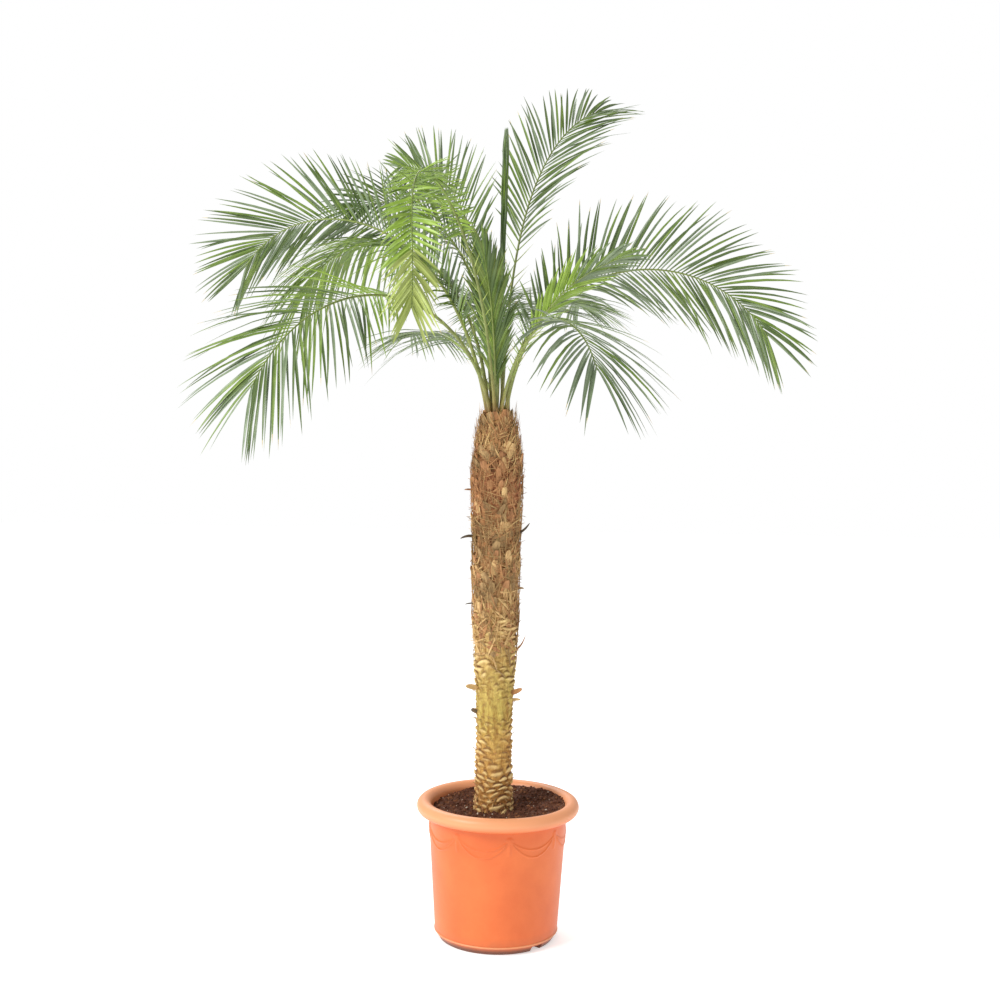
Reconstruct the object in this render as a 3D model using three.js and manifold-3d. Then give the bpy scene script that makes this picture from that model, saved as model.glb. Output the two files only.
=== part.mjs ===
// Pygmy date palm in a nursery pot: pot, soil, trunk, spear leaf and arching fronds.
// Millimetres, +Z up. The origin is the middle of the pot's underside, and -Y faces the viewer.
import * as THREE from "three";
import { mergeVertices } from "three/addons/utils/BufferGeometryUtils.js";
import Module from "manifold-3d";

// Pot
const POT_HEIGHT = 276;
const POT_RIM_RADIUS = 160;
const POT_RIM_ROLL = 14;
const POT_TOP_RADIUS = 138;
const POT_BASE_RADIUS = 121;
const POT_FOOT_RADIUS = 112;
const POT_BEVEL = 14;
const POT_WALL = 4;
const POT_FLOOR = 6;
const POT_SIDES = 48;
const DRAIN_HOLES = 3;
const DRAIN_BEARING = -47;
const DRAIN_WIDTH = 26;
const DRAIN_HEIGHT = 11;
const DRAIN_INNER_RADIUS = 92;

// Soil
const SOIL_EDGE_HEIGHT = 259;
const SOIL_MIDDLE_HEIGHT = 255;
const SOIL_MIDDLE_RADIUS = 66;

// Clearance between pieces that rest on each other
const GAP = 0.3;

// Trunk: its foot stands a little left of the pot's middle, and it leans slightly to the left
const FOOT_X = -9;
const CROWN_X = -14;
const TRUNK_TOP = 1034;
const SCARS_ROUND = 9;
const SCAR_ROW = 15;
const SCAR_RELIEF = 5;
const BOOT_RELIEF = 8;
const SCAR_TWIST = 35;
const PEG_RISE = 0.35;
const BOOTS_BEGIN = 0.55;
const BOOTS_FULL = 0.75;

// Trunk outline: share of the height, and core radius there without the leaf scars
const TRUNK_OUTLINE = [
  [0, 37],
  [0.06, 35],
  [0.16, 32],
  [0.33, 36],
  [0.48, 40],
  [0.65, 41],
  [0.86, 43],
  [0.94, 35],
  [1, 24],
];

// Fronds: one rib with opposite leaflets, angles in degrees
const PETIOLE_WIDTH = 8;
const PETIOLE_DEPTH = 6;
const RIB_TIP_WIDTH = 3.4;
const RIB_TIP_DEPTH = 3;
const OUTER_SEAT_RADIUS = 18.8;
const INNER_SEAT_RADIUS = 9.5;
const FIRST_SEAT = -6;
const PAIR_SPACING = 24;
const LEAFLET_ROOT = 9;
const LEAFLET_WIDTH = 10.5;
const LEAFLET_THICK = 2.4;
const LEAFLET_ANGLE_FOOT = 60;
const LEAFLET_ANGLE_TIP = 17;
const LEAFLET_MIDDLE = 0.45;
const LEAFLET_FOOT_SHARE = 0.5;
const LEAFLET_VEE_LOSS = 0.5;
const LEAFLET_SPACING_SHARE = 0.75;
const LEAFLET_FREE_FOOT = 0.3;
const LEAFLET_CLEARANCE = 9;
const LEAFLET_OWN_CLEARANCE = 0.9;
const FIRST_PAIR = 0.3;
const TRUNK_CLEARANCE = 60;
const RIB_CLEARANCE = 4;
const ROLL_FULL = 0.6;
const PETIOLE_STEP = 0.08;

// Spear leaf, still closed
const SPEAR_LENGTH = 545;
const SPEAR_BASE_RADIUS = 4;
const SPEAR_FULL_RADIUS = 8;
const SPEAR_BLADE_FOOT = 0.6;
const SPEAR_FULLEST = 0.82;
const SPEAR_LEAN = 8;

const POT_COLOUR = 0xf98953;
const SOIL_COLOUR = 0x5a3928;
const BARK_COLOUR = 0x97744c;
const LEAF_DARK = 0x6b7e41;
const LEAF_MID = 0x7d9350;
const LEAF_BRIGHT = 0x8ea95b;
const POT_ROUGHNESS = 0.55;
const SOIL_ROUGHNESS = 0.95;
const BARK_ROUGHNESS = 0.9;
const LEAF_ROUGHNESS = 0.5;

// Azimuth 0 is to the right and 90 to the back. A rib leaves the trunk at launch degrees above level
// and has turned down by bend degrees at its tip, late in its length where hook is large.
// Sweep turns it sideways and roll tips its blade. Vee lifts the leaflets, droop lets them hang, spread
// opens them from the rib, which they close up to at the tip, late where closing is large. First is
// where on the rib they begin, fullest where they are longest and ending how long the last ones are.
const USUAL_FROND = {
  hook: 1, sweep: 0, roll: 0, vee: 20, droop: 0.16, spread: 1, closing: 2.4, first: 0.36,
  leaflet: 205, fullest: 0.4, ending: 0.55, split: 0, inner: false, colour: LEAF_MID,
};
const FRONDS = [
  { name: "frond_right", azimuth: 0, launch: 92, bend: 149, length: 705, roll: -62, vee: 28, first: 0.22,
    leaflet: 200, split: 0.6, colour: LEAF_DARK },
  { name: "frond_top_right", azimuth: 46, launch: 86, bend: 70, hook: 2.4, length: 715, roll: 30,
    spread: 0.64, closing: 3.4, first: 0.46, leaflet: 185, ending: 0.62, inner: true, colour: LEAF_DARK },
  { name: "frond_back_right_low", azimuth: 70, launch: 74, bend: 86, hook: 0.8, length: 560, vee: 0,
    droop: 0.3, first: 0.45, leaflet: 185 },
  { name: "frond_back", azimuth: 96, launch: 74, bend: 102, length: 560, spread: 0.8, first: 0.4,
    leaflet: 170 },
  { name: "frond_back_low", azimuth: 113, launch: 67, bend: 73, hook: 0.45, length: 586, sweep: -3,
    vee: 0, droop: 0.35, first: 0.45, leaflet: 180 },
  { name: "frond_top_left", azimuth: 135, launch: 88, bend: 88, hook: 2, length: 640, roll: 85, vee: 25,
    spread: 0.9, first: 0.5, leaflet: 155, ending: 0.4, inner: true },
  { name: "frond_back_left_high", azimuth: 160, launch: 86, bend: 116, hook: 2.2, length: 600, roll: 40,
    vee: 15, droop: 0.2, spread: 0.9, first: 0.42, leaflet: 150 },
  { name: "frond_back_left", azimuth: 153, launch: 83, bend: 146, hook: 1.6, length: 665, roll: 10,
    vee: 4, droop: 0.5, spread: 0.95, first: 0.3, leaflet: 205, split: 0.66 },
  { name: "frond_left", azimuth: 170, launch: 77, bend: 136, hook: 1.75, length: 735, roll: 48, vee: 26,
    droop: 0.1, first: 0.24, leaflet: 182, fullest: 0.68, ending: 0.6, split: 0.72 },
  { name: "frond_young", azimuth: 250, launch: 85, bend: 26, hook: 1.6, length: 310, roll: 20,
    spread: 0.36, first: 0.15, leaflet: 140, inner: true },
  { name: "frond_left_low", azimuth: 226, launch: 75, bend: 137, hook: 0.95, length: 720, sweep: -3,
    roll: -25, vee: 5, droop: 0.22, spread: 0.95, first: 0.46, leaflet: 215, split: 0.53,
    colour: LEAF_DARK },
  { name: "frond_front", azimuth: 241, launch: 79, bend: 182, hook: 1.72, length: 955, sweep: 47, vee: 4,
    droop: 0.1, spread: 1.35, closing: 4, first: 0.38, leaflet: 53, ending: 1.3, split: 0.66,
    colour: LEAF_BRIGHT },
  { name: "frond_front_right", azimuth: 292, launch: 69, bend: 113, hook: 0.92, length: 570, sweep: -8,
    roll: -8, vee: 5, droop: 0.3, spread: 0.9, first: 0.54, leaflet: 195, split: 0.6,
    colour: LEAF_DARK },
  { name: "frond_right_young", azimuth: 336, launch: 80, bend: 66, hook: 1.3, length: 400, roll: -50,
    vee: 20, spread: 0.5, first: 0.42, leaflet: 110, colour: LEAF_BRIGHT },
].map((frond) => ({ ...USUAL_FROND, ...frond }));

const wasm = await Module();
wasm.setup();

const palm = new THREE.Group();

function addPiece(name, geometry, colour, roughness) {
  const material = new THREE.MeshStandardMaterial({ color: colour, roughness, metalness: 0 });
  const mesh = new THREE.Mesh(geometry, material);
  mesh.name = name;
  palm.add(mesh);
}

// Closed mesh as a solid that can be cut: shared corners are merged and collapsed faces are dropped
function toSolid(geometry) {
  const bare = geometry.clone();
  bare.deleteAttribute("normal");
  bare.deleteAttribute("uv");
  const merged = mergeVertices(bare, 1e-3);
  const index = merged.index.array;
  const faces = [];
  for (let i = 0; i < index.length; i += 3) {
    const [a, b, c] = index.slice(i, i + 3);
    if (a !== b && b !== c && c !== a) faces.push(a, b, c);
  }
  const vertProperties = merged.attributes.position.array;
  const triVerts = Uint32Array.from(faces);
  return new wasm.Manifold(new wasm.Mesh({ numProp: 3, vertProperties, triVerts }));
}

function toGeometry(solid) {
  const mesh = solid.getMesh();
  return meshGeometry(mesh.vertProperties, mesh.triVerts);
}

function meshGeometry(coordinates, faces) {
  const geometry = new THREE.BufferGeometry();
  geometry.setAttribute("position", new THREE.Float32BufferAttribute(coordinates, 3));
  geometry.setIndex(Array.from(faces));
  geometry.computeVertexNormals();
  return geometry;
}

// Turned shape about the Z axis, from its outline as [radius, height] pairs, upwards on the outside
function turned(outline) {
  const points = outline.map(([radius, height]) => new THREE.Vector2(radius, height));
  const geometry = new THREE.LatheGeometry(points, POT_SIDES);
  geometry.rotateX(Math.PI / 2);
  return geometry;
}

const mix = THREE.MathUtils.lerp;
const radians = THREE.MathUtils.degToRad;

// Outside radius of the pot's wall at a height
function potRadius(height) {
  return mix(POT_BASE_RADIUS, POT_TOP_RADIUS, (height - POT_BEVEL) / (POT_HEIGHT - POT_BEVEL));
}

// Pot: tapering wall, rolled rim, bevelled foot and drain holes through its lower edge
function potGeometry() {
  const rimHeight = POT_HEIGHT - POT_RIM_ROLL;
  const rimMiddle = POT_RIM_RADIUS - POT_RIM_ROLL;
  const outline = [
    [0, 0],
    [POT_FOOT_RADIUS, 0],
    [POT_BASE_RADIUS, POT_BEVEL],
  ];
  const rollFrom = -115;
  const rollTo = 195;
  const rollSteps = 9;
  for (let i = 0; i <= rollSteps; i++) {
    const turn = radians(mix(rollFrom, rollTo, i / rollSteps));
    outline.push([
      rimMiddle + POT_RIM_ROLL * Math.cos(turn),
      rimHeight + POT_RIM_ROLL * Math.sin(turn),
    ]);
  }
  outline.push([POT_BASE_RADIUS - POT_WALL, POT_BEVEL + POT_WALL / 2]);
  outline.push([POT_FOOT_RADIUS - POT_WALL, POT_FLOOR], [0, POT_FLOOR]);
  let solid = toSolid(turned(outline));
  for (let i = 0; i < DRAIN_HOLES; i++) {
    const depth = POT_RIM_RADIUS - DRAIN_INNER_RADIUS;
    const cutter = new THREE.BoxGeometry(depth, DRAIN_WIDTH, 2 * DRAIN_HEIGHT);
    cutter.translate(DRAIN_INNER_RADIUS + depth / 2, 0, 0);
    cutter.rotateZ(radians(DRAIN_BEARING + (360 / DRAIN_HOLES) * i));
    solid = solid.subtract(toSolid(cutter));
  }
  return toGeometry(solid);
}

// Soil: fills the pot clear of its wall and floor and dips a little to a flat middle under the trunk
function soilGeometry() {
  const floor = POT_FLOOR + GAP;
  const inside = POT_WALL + 2 * GAP;
  return turned([
    [0, floor],
    [POT_FOOT_RADIUS - inside, floor],
    [POT_BASE_RADIUS - inside, POT_BEVEL + POT_WALL / 2 + GAP],
    [potRadius(SOIL_EDGE_HEIGHT) - inside - 2 * GAP, SOIL_EDGE_HEIGHT],
    [SOIL_MIDDLE_RADIUS, SOIL_MIDDLE_HEIGHT - GAP],
    [0, SOIL_MIDDLE_HEIGHT - GAP],
  ]);
}

// Trunk: staggered rows of diamond leaf scars, each drawn out to a peg that points up and out.
// The upper pegs are the larger boots of leaves that fell last.
function trunkGeometry() {
  const height = TRUNK_TOP - SOIL_MIDDLE_HEIGHT;
  const rows = Math.round(height / SCAR_ROW);
  const outline = new THREE.SplineCurve(TRUNK_OUTLINE.map((pair) => new THREE.Vector2(...pair)));
  const samplesPerStep = 8;
  const samples = outline.getPoints(samplesPerStep * TRUNK_OUTLINE.length);
  const coreRadius = (share) => {
    const after = Math.max(1, samples.findIndex((sample) => sample.x >= share - 1e-9));
    const [low, high] = [samples[after - 1], samples[after]];
    return mix(low.y, high.y, (share - low.x) / (high.x - low.x));
  };
  const coordinates = [];
  const faces = [];
  const addPoint = (share, column, relief) => {
    const turn = ((column / SCARS_ROUND) * 360 + SCAR_TWIST * share) % 360;
    const radius = coreRadius(share) + relief;
    coordinates.push(
      mix(FOOT_X, CROWN_X, share) + radius * Math.cos(radians(turn)),
      radius * Math.sin(radians(turn)),
      SOIL_MIDDLE_HEIGHT + height * share,
    );
    return coordinates.length / 3 - 1;
  };
  const rings = [];
  for (let row = 0; row <= rows; row++) {
    const ring = [];
    for (let column = 0; column < SCARS_ROUND; column++) {
      ring.push(addPoint(row / rows, column + (row % 2) / 2, 0));
    }
    rings.push(ring);
  }
  const corner = (row, column) => rings[row][(column + SCARS_ROUND) % SCARS_ROUND];
  for (let row = 0; row <= rows; row++) {
    const odd = row % 2;
    for (let column = 0; column < SCARS_ROUND; column++) {
      const left = corner(row, column);
      const right = corner(row, column + 1);
      if (row === 0) {
        faces.push(left, right, corner(row + 1, column + odd));
        continue;
      }
      if (row === rows) {
        faces.push(left, corner(row - 1, column + odd), right);
        continue;
      }
      const below = corner(row - 1, column + odd);
      const above = corner(row + 1, column + odd);
      const share = (row + PEG_RISE) / rows;
      const boots = THREE.MathUtils.smoothstep(share, BOOTS_BEGIN, BOOTS_FULL);
      const relief = mix(SCAR_RELIEF, BOOT_RELIEF, boots);
      const peg = addPoint(share, column + 0.5 + odd / 2, relief);
      faces.push(left, below, peg, below, right, peg, right, above, peg, above, left, peg);
    }
  }
  const foot = rings[0];
  const top = rings[rows];
  for (let column = 1; column < SCARS_ROUND - 1; column++) {
    faces.push(foot[0], foot[column + 1], foot[column]);
    faces.push(top[0], top[column], top[column + 1]);
  }
  return meshGeometry(coordinates, faces);
}

// Direction of a frond's rib, and the upper side and left side of its blade, at a share of its length
function ribFrame(frond, share) {
  const climb = radians(frond.launch - frond.bend * share ** frond.hook);
  const round = radians(frond.azimuth + frond.sweep * share ** 2);
  const ahead = new THREE.Vector3(
    Math.cos(climb) * Math.cos(round),
    Math.cos(climb) * Math.sin(round),
    Math.sin(climb),
  );
  const up = new THREE.Vector3(
    -Math.sin(climb) * Math.cos(round),
    -Math.sin(climb) * Math.sin(round),
    Math.cos(climb),
  );
  const roll = radians(frond.roll) * Math.min(1, share / ROLL_FULL);
  up.applyAxisAngle(ahead, roll);
  const left = new THREE.Vector3().crossVectors(up, ahead);
  return { ahead, up, left };
}

// Rib of a frond as a function from the share of its length to a point
function ribLine(frond, seat) {
  const steps = 90;
  const points = [seat.clone()];
  for (let i = 0; i < steps; i++) {
    const { ahead } = ribFrame(frond, (i + 0.5) / steps);
    points.push(points[i].clone().addScaledVector(ahead, frond.length / steps));
  }
  return (share) => {
    const place = Math.min(share, 1) * steps;
    const before = Math.min(Math.floor(place), steps - 1);
    return points[before].clone().lerp(points[before + 1], place - before);
  };
}

// Shortest distance between two straight pieces
function segmentGap(first, second) {
  const d1 = first.to.clone().sub(first.from);
  const d2 = second.to.clone().sub(second.from);
  const between = first.from.clone().sub(second.from);
  const a = d1.dot(d1);
  const e = d2.dot(d2);
  const f = d2.dot(between);
  const c = d1.dot(between);
  const b = d1.dot(d2);
  const spread = a * e - b * b;
  const limit = (value) => THREE.MathUtils.clamp(value, 0, 1);
  let s = spread > 1e-9 ? limit((b * f - c * e) / spread) : 0;
  const t = limit((b * s + f) / e);
  s = limit((b * t - c) / a);
  const near = first.from.clone().addScaledVector(d1, s);
  return near.distanceTo(second.from.clone().addScaledVector(d2, t));
}

// Leaflet of a frond: its root on the rib, the middle where it is widest, and its tip.
// side is 1 on the left and -1 on the right, lift turns it up or down, and size shortens it.
function leafletLine(frond, rib, along, side, lift, size) {
  const share = mix(frond.first, 1, along);
  const { ahead, up, left } = ribFrame(frond, share);
  const { fullest } = frond;
  const taper = along < fullest
    ? mix(1, LEAFLET_FOOT_SHARE, (1 - along / fullest) ** 2)
    : mix(1, frond.ending, ((along - fullest) / (1 - fullest)) ** 2);
  const length = frond.leaflet * taper * size;
  const angle = radians(frond.spread * mix(LEAFLET_ANGLE_FOOT, LEAFLET_ANGLE_TIP, along ** frond.closing));
  const rise = radians(frond.vee * (1 - LEAFLET_VEE_LOSS * along) + lift);
  const heading = ahead.clone().multiplyScalar(Math.cos(angle));
  heading.addScaledVector(left, side * Math.sin(angle) * Math.cos(rise));
  heading.addScaledVector(up, Math.sin(angle) * Math.sin(rise));
  const root = rib(share);
  const middle = root.clone().addScaledVector(heading, LEAFLET_MIDDLE * length);
  middle.z -= LEAFLET_MIDDLE ** 2 * frond.droop * length;
  const tip = root.clone().addScaledVector(heading, length);
  tip.z -= frond.droop * length;
  const spacing = PAIR_SPACING * Math.sin(angle);
  const width = Math.min(LEAFLET_WIDTH, LEAFLET_SPACING_SHARE * spacing);
  return { share, side, heading, ahead, root, middle, tip, width };
}

// Seats on the trunk's top: an outer ring in the order of the fronds, and an inner ring
const crown = new THREE.Vector3(CROWN_X, 0, TRUNK_TOP + GAP);
const outerFronds = FRONDS.filter((frond) => !frond.inner);
for (const frond of FRONDS) {
  const turn = frond.inner
    ? radians(frond.azimuth)
    : radians(FIRST_SEAT + (360 / outerFronds.length) * outerFronds.indexOf(frond));
  const radius = frond.inner ? INNER_SEAT_RADIUS : OUTER_SEAT_RADIUS;
  frond.seat = crown.clone().add(new THREE.Vector3(radius * Math.cos(turn), radius * Math.sin(turn), 0));
  frond.rib = ribLine(frond, frond.seat);
}

// Everything that a leaflet has to stay clear of: the trunk, the spear, all ribs and earlier leaflets
const trunkFoot = new THREE.Vector3(FOOT_X, 0, SOIL_MIDDLE_HEIGHT);
const spearTip = crown.clone().add(new THREE.Vector3(SPEAR_LEAN, 0, SPEAR_LENGTH));
const taken = [
  { from: trunkFoot, to: crown.clone(), room: TRUNK_CLEARANCE },
  { from: crown.clone(), to: spearTip, room: SPEAR_FULL_RADIUS },
];
for (const frond of FRONDS) {
  const pieces = 24;
  for (let i = 0; i < pieces; i++) {
    const from = frond.rib(i / pieces);
    const to = frond.rib((i + 1) / pieces);
    taken.push({ frond, rib: true, from, to, room: RIB_CLEARANCE });
  }
}

// Takes the room of a leaflet that is clear of all others, and says whether it is
function isClear(frond, leaflet) {
  const rootEnd = leaflet.root.clone().lerp(leaflet.middle, LEAFLET_FREE_FOOT);
  const pieces = [
    { from: rootEnd, to: leaflet.middle },
    { from: leaflet.middle, to: leaflet.tip },
  ];
  for (const other of taken) {
    if (other.frond === frond && other.rib) continue;
    const sameFrond = other.frond === frond;
    const needed = sameFrond
      ? LEAFLET_OWN_CLEARANCE * leaflet.width
      : LEAFLET_CLEARANCE + (other.room ?? 0);
    if (pieces.some((piece) => segmentGap(piece, other) < needed)) return false;
  }
  for (const piece of pieces) taken.push({ frond, ...piece });
  return true;
}

// Leaflets that find room, tried first as they grow, then turned a little up or down, then shorter
// Each try is a turn in degrees and a share of the full length
const LEAFLET_TRIES = [
  [0, 1], [10, 1], [-10, 1], [20, 0.95], [-20, 0.95], [0, 0.75], [15, 0.7], [-15, 0.7], [0, 0.5],
];
for (const frond of FRONDS) {
  const pairs = Math.round((frond.length * (1 - frond.first)) / PAIR_SPACING);
  frond.leaflets = [];
  for (let pair = 0; pair < pairs; pair++) {
    for (const side of [1, -1]) {
      for (const [lift, size] of LEAFLET_TRIES) {
        const leaflet = leafletLine(frond, frond.rib, (pair + FIRST_PAIR) / pairs, side, lift, size);
        if (!isClear(frond, leaflet)) continue;
        frond.leaflets.push(leaflet);
        break;
      }
    }
  }
}

// One length of a frond, from share start to share end of its rib, as a closed four-sided rib whose
// side opens into each leaflet: root on the rib, widest ring in the middle, point at the tip
function frondGeometry(frond, start, end) {
  const half = LEAFLET_ROOT / 2 / frond.length;
  const bearing = frond.leaflets.filter(({ share }) => share - 2 * half > start && share + 2 * half < end);
  const leafShares = [...new Set(bearing.map(({ share }) => share))];
  const shares = [start];
  for (let share = PETIOLE_STEP; share < frond.first - PETIOLE_STEP / 2; share += PETIOLE_STEP) {
    if (share > start && share < end) shares.push(share);
  }
  for (const share of leafShares) shares.push(share - half, share + half);
  shares.push(end);

  const coordinates = [];
  const faces = [];
  const addPoint = (point) => {
    coordinates.push(point.x, point.y, point.z);
    return coordinates.length / 3 - 1;
  };
  const addQuad = (a, b, c, d) => faces.push(a, b, c, a, c, d);
  const stations = shares.map((share) => {
    const { ahead, up, left } = ribFrame(frond, share);
    const middle = frond.rib(share);
    const wide = mix(PETIOLE_WIDTH, RIB_TIP_WIDTH, share) / 2;
    const deep = mix(PETIOLE_DEPTH, RIB_TIP_DEPTH, share) / 2;
    const at = (sideways, upwards) => {
      const point = middle.clone();
      point.addScaledVector(left, sideways * wide).addScaledVector(up, upwards * deep);
      // The foot of the petiole is cut level, just clear of the trunk
      if (share === 0) point.addScaledVector(ahead, (frond.seat.z - point.z) / ahead.z);
      return addPoint(point);
    };
    return { share, leftTop: at(1, 1), leftLow: at(1, -1), rightLow: at(-1, -1), rightTop: at(-1, 1) };
  });

  const addLeaflet = (leaflet, ring) => {
    const { side, heading, ahead, middle, tip, width } = leaflet;
    const across = ahead.clone().addScaledVector(heading, -ahead.dot(heading)).normalize();
    const above = new THREE.Vector3().crossVectors(across, heading).multiplyScalar(side).normalize();
    const corner = (forward, upward) => addPoint(
      middle.clone()
        .addScaledVector(across, (forward * width) / 2)
        .addScaledVector(above, (upward * LEAFLET_THICK) / 2),
    );
    const wide = [corner(-1, side), corner(1, side), corner(1, -side), corner(-1, -side)];
    const point = addPoint(tip);
    for (let i = 0; i < 4; i++) {
      const next = (i + 1) % 4;
      addQuad(ring[i], ring[next], wide[next], wide[i]);
      faces.push(wide[i], wide[next], point);
    }
  };

  for (let i = 0; i + 1 < stations.length; i++) {
    const near = stations[i];
    const far = stations[i + 1];
    const centre = (near.share + far.share) / 2;
    addQuad(near.rightTop, far.rightTop, far.leftTop, near.leftTop);
    addQuad(near.leftLow, far.leftLow, far.rightLow, near.rightLow);
    const sides = {
      1: [near.leftTop, far.leftTop, far.leftLow, near.leftLow],
      [-1]: [near.rightLow, far.rightLow, far.rightTop, near.rightTop],
    };
    for (const side of [1, -1]) {
      const grown = bearing.filter((leaf) => leaf.side === side);
      const leaflet = grown.find((leaf) => Math.abs(leaf.share - centre) < half / 2);
      if (leaflet) addLeaflet(leaflet, sides[side]);
      else addQuad(...sides[side]);
    }
  }
  const first = stations[0];
  const last = stations[stations.length - 1];
  addQuad(first.leftTop, first.leftLow, first.rightLow, first.rightTop);
  addQuad(last.leftTop, last.rightTop, last.rightLow, last.leftLow);
  return meshGeometry(coordinates, faces);
}

// Spear leaf: a slim stalk with a folded blade near its top, leaning a little to the right
function spearGeometry() {
  const outline = [
    [0, 0],
    [SPEAR_BASE_RADIUS, 0],
    [SPEAR_BASE_RADIUS, SPEAR_BLADE_FOOT * SPEAR_LENGTH],
    [SPEAR_FULL_RADIUS, SPEAR_FULLEST * SPEAR_LENGTH],
    [0, SPEAR_LENGTH],
  ];
  const points = outline.map(([radius, height]) => new THREE.Vector2(radius, height));
  const sides = 8;
  const geometry = new THREE.LatheGeometry(points, sides);
  geometry.rotateX(Math.PI / 2);
  const lean = new THREE.Matrix4().makeShear(0, 0, 0, 0, SPEAR_LEAN / SPEAR_LENGTH, 0);
  geometry.applyMatrix4(lean);
  geometry.translate(crown.x, crown.y, crown.z);
  return geometry;
}

addPiece("pot", potGeometry(), POT_COLOUR, POT_ROUGHNESS);
addPiece("soil", soilGeometry(), SOIL_COLOUR, SOIL_ROUGHNESS);
addPiece("trunk", trunkGeometry(), BARK_COLOUR, BARK_ROUGHNESS);
addPiece("spear_leaf", spearGeometry(), LEAF_BRIGHT, LEAF_ROUGHNESS);
for (const frond of FRONDS) {
  if (frond.split === 0) {
    addPiece(frond.name, frondGeometry(frond, 0, 1), frond.colour, LEAF_ROUGHNESS);
    continue;
  }
  const cut = GAP / 2 / frond.length;
  const inner = frondGeometry(frond, 0, frond.split - cut);
  const outer = frondGeometry(frond, frond.split + cut, 1);
  addPiece(`${frond.name}_inner`, inner, frond.colour, LEAF_ROUGHNESS);
  addPiece(`${frond.name}_outer`, outer, frond.colour, LEAF_ROUGHNESS);
}

export default palm;
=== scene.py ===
import math
from dataclasses import dataclass

import bpy
import numpy as np
from mathutils import Matrix, Vector, noise


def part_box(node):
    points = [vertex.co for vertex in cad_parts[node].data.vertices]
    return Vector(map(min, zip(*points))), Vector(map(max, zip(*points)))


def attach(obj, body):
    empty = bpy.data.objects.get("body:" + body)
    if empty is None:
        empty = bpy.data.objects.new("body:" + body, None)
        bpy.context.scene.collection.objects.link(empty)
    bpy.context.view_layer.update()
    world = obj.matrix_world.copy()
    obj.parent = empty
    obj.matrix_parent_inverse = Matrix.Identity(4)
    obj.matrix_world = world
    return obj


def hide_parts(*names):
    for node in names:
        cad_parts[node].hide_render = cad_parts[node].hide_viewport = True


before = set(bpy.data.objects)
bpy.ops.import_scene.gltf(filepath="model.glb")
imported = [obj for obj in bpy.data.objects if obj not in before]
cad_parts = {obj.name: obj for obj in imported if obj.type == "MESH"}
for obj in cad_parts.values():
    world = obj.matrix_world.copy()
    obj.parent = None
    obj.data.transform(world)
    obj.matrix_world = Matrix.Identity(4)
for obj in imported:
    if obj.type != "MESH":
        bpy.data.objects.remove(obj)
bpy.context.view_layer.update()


# The pot
# A round nursery pot, injection moulded in terracotta-coloured plastic, with a hollow rolled rim.
# Its foot is bevelled under a bead and cut by three drain slots. Shallow swags are moulded under the rim.

pot_low, pot_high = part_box("pot")
POT_HEIGHT = pot_high[2]
POT_RIM_RADIUS = (pot_high[0] - pot_low[0]) / 2
POT_RIM_ROLL = 0.014
POT_RIM_TURNS = np.radians(np.arange(-100, 196, 8))
POT_TOP_RADIUS = 0.138
POT_BASE_RADIUS = 0.121
POT_FOOT_RADIUS = 0.112
POT_BEVEL = 0.014
POT_BEVEL_SHARES = (0.08, 0.3, 0.55, 0.8, 0.95)
POT_WALL = 0.004
POT_FLOOR = 0.006
POT_EDGE = 0.0006
POT_SIDES = 480
POT_SHARP = math.radians(50)
UNDERSIDE_RING = 0.05
FOOT_BEAD = 0.0014
FOOT_BEAD_HEIGHT = 0.016
FOOT_BEAD_HALF = 0.0018
DRAIN_SLOTS = 3
DRAIN_BEARING = math.radians(-47)
DRAIN_WIDTH = 0.026
DRAIN_HEIGHT = 0.011
DRAIN_INNER_RADIUS = 0.092
DRAIN_EDGES = (0.999, 1.01)
SWAGS = 8
SWAG_TURN = math.radians(-125)
SWAG_HANG = 0.229
SWAG_LOWEST = 0.180
SWAG_HIGHEST = 0.2395
SWAG_SAGS = (0.021, 0.036)
SWAG_LINE = 0.0016
SWAG_RELIEF = 0.0016
ROSETTE_RADIUS = 0.0075
TASSEL_LENGTH = 0.031
TASSEL_WIDTH = 0.0028
NECK_STEPS = ((0, 0.2435), (0.0006, 0.2462), (0.002, 0.248))

# Over the plastic's colour: dust low down, painted shade under the bevel, a painted highlight on the bead,
# a pale rim
SPLASH_TOP, SPLASH_COLOUR = 0.035, (150, 92, 62)
# Painted shade: darker brown under the bead, deepest low on the bevel
BEVEL_SHADE_HEIGHTS, BEVEL_SHADE_SHARE, BEVEL_SHADE_COLOUR = (0.0145, 0.006), 0.9, (96, 52, 30)
# Painted highlight: a paler band along the foot bead
BEAD_HIGHLIGHT_HALF, BEAD_HIGHLIGHT_SHARE, BEAD_HIGHLIGHT_COLOUR = 0.0015, 0.6, (240, 176, 126)
# The rim is paler at the top: partly bleached plastic, partly a painted highlight
RIM_HEIGHTS, RIM_SHARE, RIM_BLEACH_AND_HIGHLIGHT_COLOUR = (0.246, 0.262), 0.75, (238, 170, 122)


def pot_radius(height):
    share = (height - POT_BEVEL) / (POT_HEIGHT - POT_BEVEL)
    return POT_BASE_RADIUS + (POT_TOP_RADIUS - POT_BASE_RADIUS) * share


def swag_relief(turn, height):
    """How far the moulded swags stand out: hanging lines, a rosette where they meet and its tassel."""
    pitch = 2 * math.pi / SWAGS
    share = ((turn - SWAG_TURN) / pitch) % 1.0
    hang = 1 - (2 * share - 1) ** 2
    relief = 0.0
    for sag in SWAG_SAGS:
        away = (height - (SWAG_HANG - sag * hang)) / SWAG_LINE
        relief = max(relief, math.exp(-away * away))
    from_knot = min(share, 1 - share) * pitch * POT_TOP_RADIUS
    away = math.hypot(from_knot, height - SWAG_HANG) / ROSETTE_RADIUS
    if away < 1:
        relief = max(relief, 1 - away ** 4)
    drop = 2 * (SWAG_HANG - height) / TASSEL_LENGTH - 1
    if abs(drop) < 1:
        relief = max(relief, math.exp(-(from_knot / TASSEL_WIDTH) ** 2) * (1 - drop ** 4))
    return SWAG_RELIEF * relief


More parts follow.
